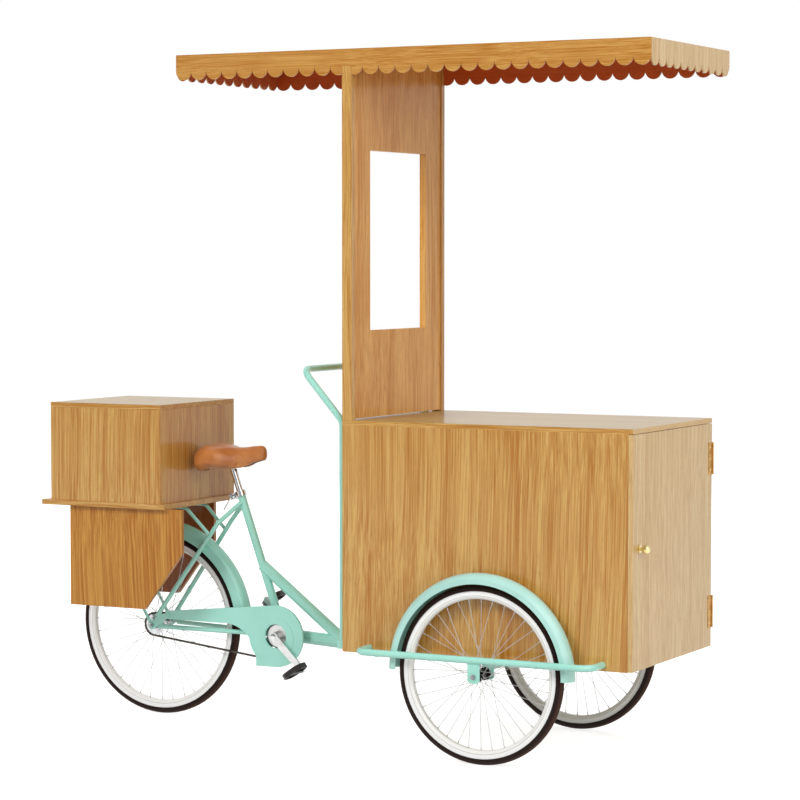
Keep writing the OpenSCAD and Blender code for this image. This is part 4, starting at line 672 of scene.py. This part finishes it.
@dataclass
class Wheel:
    """A spoked wheel: tyre, rim and nipples, with its spokes and hub from the construction."""

    place: str
    body: str
    tyre_w: float = 42.0 * MM
    tyre_h: float = 23.0 * MM
    rim_w: float = 34.0 * MM
    rim_depth: float = 30.0 * MM
    crown_angle: float = 0.95
    ring_angle: float = 0.28
    ring_spread: float = 0.06
    ring_cut: float = 1.1 * MM
    grooves: float = 90.0
    groove_slant: float = 14.0
    groove_from: float = 0.36
    groove_cut: float = 0.9 * MM
    spokes: int = 36

    def __post_init__(self) -> None:
        """Take the centre and the radius from the construction's tyre."""
        low, high = (np.array(c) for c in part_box("tyre_" + self.place))
        self.centre = (low + high) / 2.0
        self.radius = (high[0] - low[0]) / 2.0

    def build(self) -> None:
        """Make the new pieces and dress the carried-over ones."""
        self.build_tyre()
        self.build_rim()
        self.build_nipples()
        dress(["spokes_" + self.place], SPOKE)
        # Front hubs are chrome, dressed dark to paint the dark reflection they show.
        dress(["hub_" + self.place], CHROME if self.place == "rear" else DARK_STEEL_AND_PAINTED_REFLECTION)

    def build_tyre(self) -> None:
        """A round casing whose crown is cut by two rings and by slanted grooves, on a square bead."""
        steps, arc = 720, 41
        half = self.tyre_w / 2.0
        core = self.radius - half
        rim_r = self.radius - self.tyre_h
        stop = math.acos((rim_r + 0.4 * MM - core) / half)
        phi = np.linspace(-stop, stop, arc)
        bead, lip, base = self.rim_w / 2.0 - 3.0 * MM, rim_r + 0.2 * MM, rim_r - 8.0 * MM
        foot = np.array([[lip, bead], [base, bead], [base, -bead], [lip, -bead]])
        u = np.linspace(0.0, TAU, steps, endpoint=False)[:, None]
        lean = np.abs(phi)
        crown = np.clip(1.0 - lean / self.crown_angle, 0.0, 1.0)
        rings = np.exp(-((lean - self.ring_angle) / self.ring_spread) ** 2)
        slant = np.clip(np.sin(self.grooves * u + self.groove_slant * lean) * 3.0 - 1.6, 0.0, 1.0)
        shoulder = np.clip(6.0 * (lean - self.groove_from), 0.0, 1.0)
        cut = np.where(crown > 0.0, self.ring_cut * rings + self.groove_cut * slant * shoulder, 0.0)
        cut = cut * np.clip(crown * 6.0, 0.0, 1.0)
        r = core + (half - cut) * np.cos(phi)
        y = (half - cut) * np.sin(phi)
        r = np.concatenate([r, np.broadcast_to(foot[:, 0], (steps, 4))], axis=1)
        y = np.concatenate([y, np.broadcast_to(foot[:, 1], (steps, 4))], axis=1)
        worn = np.broadcast_to(np.clip(crown * 4.0, 0.0, 1.0), (steps, arc))
        tread = np.concatenate([worn, np.zeros((steps, 4))], axis=1)
        points = self.centre + np.stack([r * np.cos(u), y, r * np.sin(u)], axis=-1)
        piece = grid_mesh("tread_tyre_" + self.place, points[::-1], True, True, {"tread": tread[::-1]})
        place_piece(piece, self.body, "tyre", TYRE, "tyre_" + self.place)

    def build_rim(self) -> None:
        """A channel with rolled lips, a hollowed brake track and a rounded inner crown, carried round the wheel."""
        r, w = self.radius - self.tyre_h, self.rim_w / 2.0
        t = np.linspace(0.0, 1.0, 25)
        knee, half_crown, hollow = 0.56, 8.5 * MM, 0.7 * MM
        wall, well = 2.5 * MM, 9.0 * MM
        side = np.where(t < knee, w - hollow * np.sin(np.pi * t / knee),
                        half_crown + (w - half_crown) * np.cos(0.5 * np.pi * (t - knee) / (1.0 - knee)) ** 0.8)
        side = side - hollow * np.exp(-((t - knee) / 0.025) ** 2)
        down = r - t * self.rim_depth
        inner = np.array([[r, w - wall], [r - well, w - wall]])
        right = np.stack([down, side], axis=1)
        profile = np.concatenate([right, (right * [1.0, -1.0])[::-1], (inner * [1.0, -1.0]), inner[::-1]])
        depth = np.concatenate([t, t[::-1], [0.0, 0.2, 0.2, 0.0]])
        axle = np.array([0.0, 1.0, 0.0])
        piece = turned("lipped_rim_" + self.place, profile, self.centre, axle, 240, {"depth": depth})
        place_piece(piece, self.body, "rim", RIM, "rim_" + self.place)

    def build_nipples(self) -> None:
        """A tapered six-sided nipple at the rim end of each spoke, as stacked rings on radii."""
        count = self.spokes
        base = self.radius - self.tyre_h - self.rim_depth
        a = TAU * np.arange(count) / count
        rise = MM * np.array([0.6, -2.0, -2.0, -12.0, -12.0])
        girth = MM * np.array([2.9, 2.7, 2.1, 1.9, 0.2])
        cols = 6
        out = np.stack([np.cos(a), np.zeros(count), np.sin(a)], axis=1)[:, None, None]
        tang = np.stack([-np.sin(a), np.zeros(count), np.cos(a)], axis=1)[:, None, None]
        b = -(TAU * np.arange(cols) / cols)[None, None, :, None]
        across = np.array([0.0, 1.0, 0.0])
        sway = np.where(np.arange(count) % 2 == 0, -3.0 * MM, 3.0 * MM)[:, None, None, None] * across
        points = (self.centre + out * (base + rise[None, :, None, None]) + sway
                  + girth[None, :, None, None] * (np.cos(b) * tang + np.sin(b) * across))
        piece = many("spoke_nipples_" + self.place, points, False, True, smooth=False)
        place_piece(piece, self.body, "hub", SPOKE)


@dataclass
class Cabinet:
    """The wooden cabinet with its door, hinges, knob, column and canopy."""

    screw_r: float = 3.6 * MM
    plate_w: float = 34.0 * MM
    plate_h: float = 120.0 * MM
    plate_t: float = 2.0 * MM

    def build(self) -> None:
        """Dress the boards and the brass."""
        # Paler tones paint the sheen on the door and the canopy's end boards.
        pale = {"straw": "#DFC08A", "tan": "#C49A58", "line": "#A87A40"}
        dress(["cabinet_side_right"], oak("side", Grain.HEIGHT, 0.3))
        dress(["cabinet_side_left"], oak("far_side", Grain.HEIGHT, 4.1))
        dress(["door"], oak("door", Grain.HEIGHT, 7.7, **pale))
        dress(["cabinet_back"], oak("back", Grain.HEIGHT, 9.2))
        dress(["cabinet_floor"], oak("floor", Grain.LENGTH, 5.3))
        # Painted light: a reflection tint on the worktop's top and a pale painted sheen on its front edge.
        front, _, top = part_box("worktop")[1]
        dress(["worktop"], oak("worktop", Grain.LENGTH, 2.6, gloss=0.35, cover=0.6,
                               stains=((2, top, MM, PAINTED_TOP_REFLECTION), (0, front, MM, PAINTED_EDGE_SHEEN))))
        dress(["column_stiles"], oak("stile", Grain.HEIGHT, 11.4))
        # Brighter, warmer tones paint the warm bounce light under the canopy on the column panel.
        dress(["column_panel"], oak("panel", Grain.HEIGHT, 13.9, straw="#E6B064", tan="#C5812C", gloss=0.3))
        self.build_canopy(pale)
        dress(["door_knob"], BRASS)
        dress(["door_hinge_frames", "door_hinge_leaves"], AGED_BRASS)
        self.build_screws()

    def build_canopy(self, pale: dict[str, str]) -> None:
        """Dress the roof and its fascias, with red-brown painted shade on the faces that the roof board meets and
        shades.

        Args:
            pale: Paler tones that paint the sheen of boards that face the light.
        """
        low, high = (np.array(c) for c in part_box("canopy_roof"))
        middle, reach = (low + high) / 2.0, (high - low) / 2.0 + MM
        dress(["canopy_roof"], oak("roof", Grain.LENGTH, 15.2, gloss=0.25, stains=((2, low[2], MM, RED_PAINTED_SHADE),)))
        dress(["fascia_sides"], oak("long_fascia", Grain.LENGTH, 17.5, straw="#D09D54", tan="#B07022", fineness=0.5,
                                    gloss=0.3, stains=((1, middle[1], reach[1], RED_PAINTED_SHADE),)))
        dress(["fascia_ends"], oak("short_fascia", Grain.HEIGHT, 19.1, **pale,
                                   stains=((0, middle[0], reach[0], RED_PAINTED_SHADE),)))

    def build_screws(self) -> None:
        """Three screws down the middle of each hinge plate, on the door and on the far side."""
        door_face, far_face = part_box("door")[1][0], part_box("cabinet_side_left")[1][1]
        low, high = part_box("door_hinge_leaves")
        z = np.array([low[2], high[2] - self.plate_h])[:, None] + self.plate_h * np.array([0.15, 0.5, 0.85])
        z = z.ravel()
        ones = np.ones_like(z)
        on_door = np.stack([(door_face + self.plate_t) * ones, (far_face - self.plate_w / 2.0) * ones, z], axis=1)
        on_side = np.stack([(door_face - self.plate_w / 2.0) * ones, (far_face + self.plate_t) * ones, z], axis=1)
        door_screws = screw_heads("door_hinge_screws", on_door, (1.0, 0.0, 0.0), self.screw_r)
        place_piece(door_screws, "cabinet_door", "brass", BRASS)
        side_screws = screw_heads("frame_hinge_screws", on_side, (0.0, 1.0, 0.0), self.screw_r)
        place_piece(side_screws, "front_unit", "brass", BRASS)


@dataclass
class Carrier:
    """The shelf over the rear wheel with its box, its side panels and the rack below."""

    plate_h: float = 60.0 * MM
    plate_t: float = 2.0 * MM
    screw_r: float = 3.0 * MM
    panel_t: float = 18.0 * MM

    def build(self) -> None:
        """Dress the boards, the brass and the rack."""
        dress(["shelf"], oak("shelf", Grain.LENGTH, 21.0))
        dress(["box_walls"], oak("box", Grain.HEIGHT, 23.0))
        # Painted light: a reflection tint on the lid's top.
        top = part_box("box_lid")[1][2]
        dress(["box_lid"], oak("lid", Grain.LENGTH, 25.0, gloss=0.35, cover=0.6,
                               stains=((2, top, MM, PAINTED_TOP_REFLECTION),)))
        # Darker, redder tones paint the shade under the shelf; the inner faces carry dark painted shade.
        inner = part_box("pannier_panels")[1][1] - self.panel_t + MM
        dress(["pannier_panels"], oak("pannier", Grain.HEIGHT, 27.0, straw="#CC9443", tan="#A86518", gloss=0.3,
                                      stains=((1, 0.0, inner, DARK_PAINTED_SHADE),)))
        dress(["lid_hinge_frames", "lid_hinge_leaves"], AGED_BRASS)
        dress(["rack", "fender_rear"], MINT)
        self.build_screws()

    def build_screws(self) -> None:
        """Two screws in each hinge plate on the rear wall."""
        low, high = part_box("lid_hinge_frames")
        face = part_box("box_walls")[0][0] - self.plate_t
        y = np.array([low[1], high[1] - self.plate_h])[:, None] + self.plate_h * np.array([0.2, 0.8])
        z = low[2] + 0.42 * (high[2] - low[2])
        places = np.stack([np.full(4, face), y.ravel(), np.full(4, z)], axis=1)
        screws = screw_heads("lid_hinge_screws", places, (-1.0, 0.0, 0.0), self.screw_r)
        place_piece(screws, "rear_unit", "brass", BRASS)


@dataclass
class Chassis:
    """The welded front chassis, its rails, push bar, fenders and axles."""

    def build(self) -> None:
        """Dress the painted steel and the bright parts."""
        dress(["chassis", "side_rail_right", "side_rail_left", "push_bar"], MINT)
        # The front fenders' paler mint is painted sheen.
        dress(["fender_right", "fender_left"], PAINTED_SHEEN_MINT)
        dress(["front_axles", "king_pin"], STEEL)


@dataclass
class Bicycle:
    """The rear frame and its drive."""

    bracket: tuple[float, float, float] = (-371.0 * MM, 0.0, 350.0 * MM)
    lean_deg: float = 19.7
    boom_r: float = 25.0 * MM
    brace_r: float = 22.0 * MM
    head_r: float = 30.0 * MM
    seat_tube_r: float = 16.0 * MM
    shell_r: float = 21.0 * MM
    bead_r: float = 2.6 * MM
    boom_end_z: float = 331.0 * MM
    brace_end_x: float = -90.0 * MM
    brace_up: float = 265.0 * MM

    def build(self) -> None:
        """Dress the frame, the drive and the guard."""
        dress(["frame", "chain_guard"], MINT)
        dress(["steering_bushes"], BRASS)
        dress(["bottom_bracket", "crank_spindle", "chainring", "rear_axle"], STEEL)
        dress(["sprocket"], ZINC)
        dress(["crank_right", "crank_left"], ALLOY)
        dress(["pedal_right", "pedal_left"], NYLON)
        dress(["chain"], OILED)
        self.build_welds()
        self.build_caps()

    def build_welds(self) -> None:
        """Painted beads where the boom, the brace and the seat tube leave other tubes."""
        lean = math.radians(self.lean_deg)
        bracket = np.array(self.bracket)
        head, brace_low = np.array([0.0, 0.0, self.boom_end_z]), np.array([self.brace_end_x, 0.0, self.boom_end_z])
        up = np.array([-math.sin(lean), 0.0, math.cos(lean)])
        brace_top = bracket + self.brace_up / math.cos(lean) * up
        boom = bracket - head
        curves = np.stack([
            weld_curve(head, boom, self.boom_r, head, (0.0, 0.0, 1.0), self.head_r),
            weld_curve(brace_low, brace_top - brace_low, self.brace_r, head, boom, self.boom_r),
            weld_curve(bracket, up, self.seat_tube_r, bracket, (0.0, 1.0, 0.0), self.shell_r),
        ])
        place_piece(weld_beads("frame_welds", curves, self.bead_r), "rear_unit", "mint_paint", MINT)

    def build_caps(self) -> None:
        """Domed caps over the spindle's ends: a flat rim, then a height that falls as the square of the radius."""
        around = 40
        r = MM * np.array([12.5, 12.5, 11.5, 9.5, 7.0, 4.5, 2.0, 0.1])
        h = MM * np.array([-0.5, 1.6, 2.2, 2.9, 3.5, 3.8, 4.0, 4.0])
        low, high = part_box("crank_spindle")
        u = np.linspace(0.0, TAU, around, endpoint=False)[:, None]
        caps = []
        for face, way in ((high[1], 1.0), (low[1], -1.0)):
            turn = u * way
            across = np.broadcast_to(face + way * h, (around, len(r)))
            caps.append(np.stack([self.bracket[0] + r * np.sin(turn), across, self.bracket[2] + r * np.cos(turn)],
                                 axis=-1))
        place_piece(many("crank_caps", np.stack(caps), True, False), "crankset", "chrome", CHROME)


@dataclass
class Seat:
    """The saddle on its post, with the clamp and its lever."""

    width: float = 226.0 * MM
    nose_width: float = 62.0 * MM
    rear_reach: float = 19.0 * MM
    nose_reach: float = 10.0 * MM
    flare_from: float = 0.28
    flare_span: float = 0.46
    rear_square: float = 11.0
    nose_square: float = 4.5
    tuck_deg: float = -42.0
    rise: float = 11.0 * MM
    dip: float = 11.0 * MM
    dip_at: float = 0.6
    dip_spread: float = 0.2
    rear_fall: float = 4.0 * MM
    rear_depth: float = 72.0 * MM
    nose_depth: float = 38.0 * MM
    rear_round: float = 70.0 * MM
    nose_round: float = 30.0 * MM
    wall_t: float = 9.0 * MM
    voxel: float = 4.5 * MM
    pressure: float = 4.0
    swell_cap: float = 4.0 * MM

    def build(self) -> None:
        """Make the padded saddle and dress the bright parts."""
        self.build_saddle()
        dress(["seat_post", "seat_clamp", "clamp_lever"], CHROME)
        dress(["saddle_frame"], DARK_STEEL_AND_PAINTED_REFLECTION)

    def build_saddle(self) -> None:
        """Rings of the saddle's plan outline, drawn in towards its spine over the crown and under the lower edge."""
        low, high = (np.array(c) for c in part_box("saddle_cover"))
        rear, nose = low[0] - self.rear_reach, high[0] + self.nose_reach
        top = high[2] + self.rise
        around, rings = 96, 26
        u = np.linspace(0.0, TAU, around, endpoint=False)[:, None]
        v = np.radians(np.linspace(self.tuck_deg, 90.0, rings))[None, :]
        s = 0.5 - 0.5 * np.cos(u)
        flare = np.clip((s - self.flare_from) / self.flare_span, 0.0, 1.0)
        flare = flare * flare * (3.0 - 2.0 * flare)
        half = 0.5 * (self.width * (1.0 - flare) + self.nose_width * flare)
        square = np.where(s < 0.5, self.rear_square, self.nose_square)
        end = np.clip(1.0 - np.abs(2.0 * s - 1.0) ** square, 0.0, 1.0) ** 0.5
        x_rim = rear + (nose - rear) * s
        y_rim = np.where(np.sin(u) >= 0.0, 1.0, -1.0) * half * end
        draw = np.cos(v) ** np.where(v > 0.0, 0.62, 1.1)
        spine = np.clip(x_rim, rear + self.rear_round, nose - self.nose_round)
        x = spine + (x_rim - spine) * draw
        y = y_rim * draw
        t = (x - rear) / (nose - rear)
        sag = self.dip * np.exp(-((t - self.dip_at) / self.dip_spread) ** 2)
        crest = top - sag - self.rear_fall * np.exp(-((t - 0.05) / 0.1) ** 2)
        depth = self.rear_depth * (1.0 - t) + self.nose_depth * t
        over, under = np.sin(np.clip(v, 0.0, None)) ** 0.75, 0.75 * np.sin(np.clip(v, None, 0.0))
        z = crest - depth + depth * over + depth * under
        points = np.stack([x, y, z], axis=-1)
        piece = grid_mesh("saddle_pad", points[:, ::-1], True, False)
        wall = piece.modifiers.new("wall", "SOLIDIFY")
        wall.thickness, wall.offset = self.wall_t, -1.0
        swell(piece, self.voxel, self.pressure, self.swell_cap)
        smooth = piece.modifiers.new("smooth", "SUBSURF")
        smooth.levels = smooth.render_levels = 1
        place_piece(piece, "seat", "leather", LEATHER, "saddle_cover")


@dataclass
class Studio:
    """A pale floor, soft light and a camera at the photograph's place."""

    eye: tuple[float, float, float] = (4.936, -9.194, 1.826)
    turn_deg: float = 27.563
    dip_deg: float = 3.039
    lens_mm: float = 123.39
    sky: float = 0.4
    room: float = 0.4
    wall: float = 1.0
    target: tuple[float, float, float] = (0.2, 0.0, 1.2)

    def build(self) -> None:
        """Make the floor, the world, the lamps and the camera."""
        scene = bpy.context.scene
        scene.view_settings.view_transform = "Standard"
        self.build_camera(scene)
        self.build_world(scene)
        self.build_floor()
        self.lamp("key", (-4.5, -10.5, 8.8), 4.5, 800.0, glare=False)
        self.lamp("fill", (6.2, -3.6, 4.4), 7.0, 335.0)
        self.lamp("back", (-5.5, 8.5, 5.5), 5.0, 420.0, glare=False)

    def build_camera(self, scene: bpy.types.Scene) -> None:
        """Set a long lens, dipped a little, at the place that the photograph was taken from."""
        data = bpy.data.cameras.new("photo_camera")
        data.lens, data.sensor_width = self.lens_mm, 36.0
        data.clip_end = 100.0
        camera = bpy.data.objects.new("photo_camera", data)
        camera.location = self.eye
        camera.rotation_euler = (math.radians(90.0 - self.dip_deg), 0.0, math.radians(self.turn_deg))
        scene.collection.objects.link(camera)
        scene.camera = camera

    def build_world(self, scene: bpy.types.Scene) -> None:
        """White to the eye; in reflections a white wall behind the cart and a dimmer room before it."""
        world = bpy.data.worlds.new("studio")
        world.use_nodes = True
        tree = world.node_tree
        tree.nodes.clear()
        path = add(tree, "ShaderNodeLightPath")
        way = add(tree, "ShaderNodeSeparateXYZ", {0: add(tree, "ShaderNodeTexCoord").outputs["Generated"]})
        wall = add(tree, "ShaderNodeMapRange", {"Value": way.outputs["Y"]},
                   {"From Min": -0.3, "From Max": 0.2, "To Min": self.room, "To Max": self.wall})
        mirror = add(tree, "ShaderNodeMath", {0: path.outputs["Is Glossy Ray"], 1: wall.outputs[0]},
                     operation="MULTIPLY")
        seen = add(tree, "ShaderNodeMath", {0: path.outputs["Is Camera Ray"], 1: path.outputs["Is Transmission Ray"]},
                   operation="MAXIMUM")
        seen = add(tree, "ShaderNodeMath", {0: seen.outputs[0], 1: mirror.outputs[0]}, operation="MAXIMUM")
        level = add(tree, "ShaderNodeMath", {0: seen.outputs[0]}, {1: self.sky}, operation="MAXIMUM")
        sky = add(tree, "ShaderNodeBackground", {"Strength": level.outputs[0]}, {"Color": (1.0, 1.0, 1.0, 1.0)})
        add(tree, "ShaderNodeOutputWorld", {"Surface": sky.outputs[0]})
        scene.world = world

    def build_floor(self) -> None:
        """A wide pale sheet on the ground, a fine paper tooth in its surface."""
        span = np.linspace(-30.0, 30.0, 31)
        x, y = np.meshgrid(span, span, indexing="ij")
        floor = grid_mesh("studio_floor", np.stack([x, y, np.full_like(x, -0.0005)], axis=-1), False, False)
        floor.data.materials.append(PaperFloor("paper_floor").material())

    def lamp(self, name: str, place: tuple[float, float, float], size: float, power: float, glare: bool = True) -> None:
        """Hang one square soft lamp that faces the cart.

        Args:
            name: The lamp's name.
            place: Where it hangs, in metres.
            size: Its side in metres.
            power: Its power in watts.
            glare: Whether glossy faces mirror it.
        """
        data = bpy.data.lights.new(name, "AREA")
        data.size, data.energy = size, power
        lamp = bpy.data.objects.new(name, data)
        lamp.location, lamp.visible_glossy = place, glare
        aim = np.array(self.target) - np.array(place)
        tilt = math.acos(-aim[2] / np.linalg.norm(aim))
        lamp.rotation_euler = (tilt, 0.0, math.atan2(aim[1], aim[0]) - math.pi / 2.0)
        bpy.context.scene.collection.objects.link(lamp)


def main() -> None:
    """Build the studio and each sub-assembly."""
    logging.basicConfig(level=logging.INFO, format="%(name)s: %(message)s")
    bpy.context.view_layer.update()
    assemblies = [
        Studio(),
        Wheel("front_right", "wheel_front_right"),
        Wheel("front_left", "wheel_front_left"),
        Wheel("rear", "wheel_rear"),
        Chassis(),
        Cabinet(),
        Bicycle(),
        Carrier(),
        Seat(),
    ]
    for assembly in assemblies:
        LOG.info("building %s", type(assembly).__name__)
        assembly.build()
    bpy.context.view_layer.update()


if __name__ == "__main__":
    main()
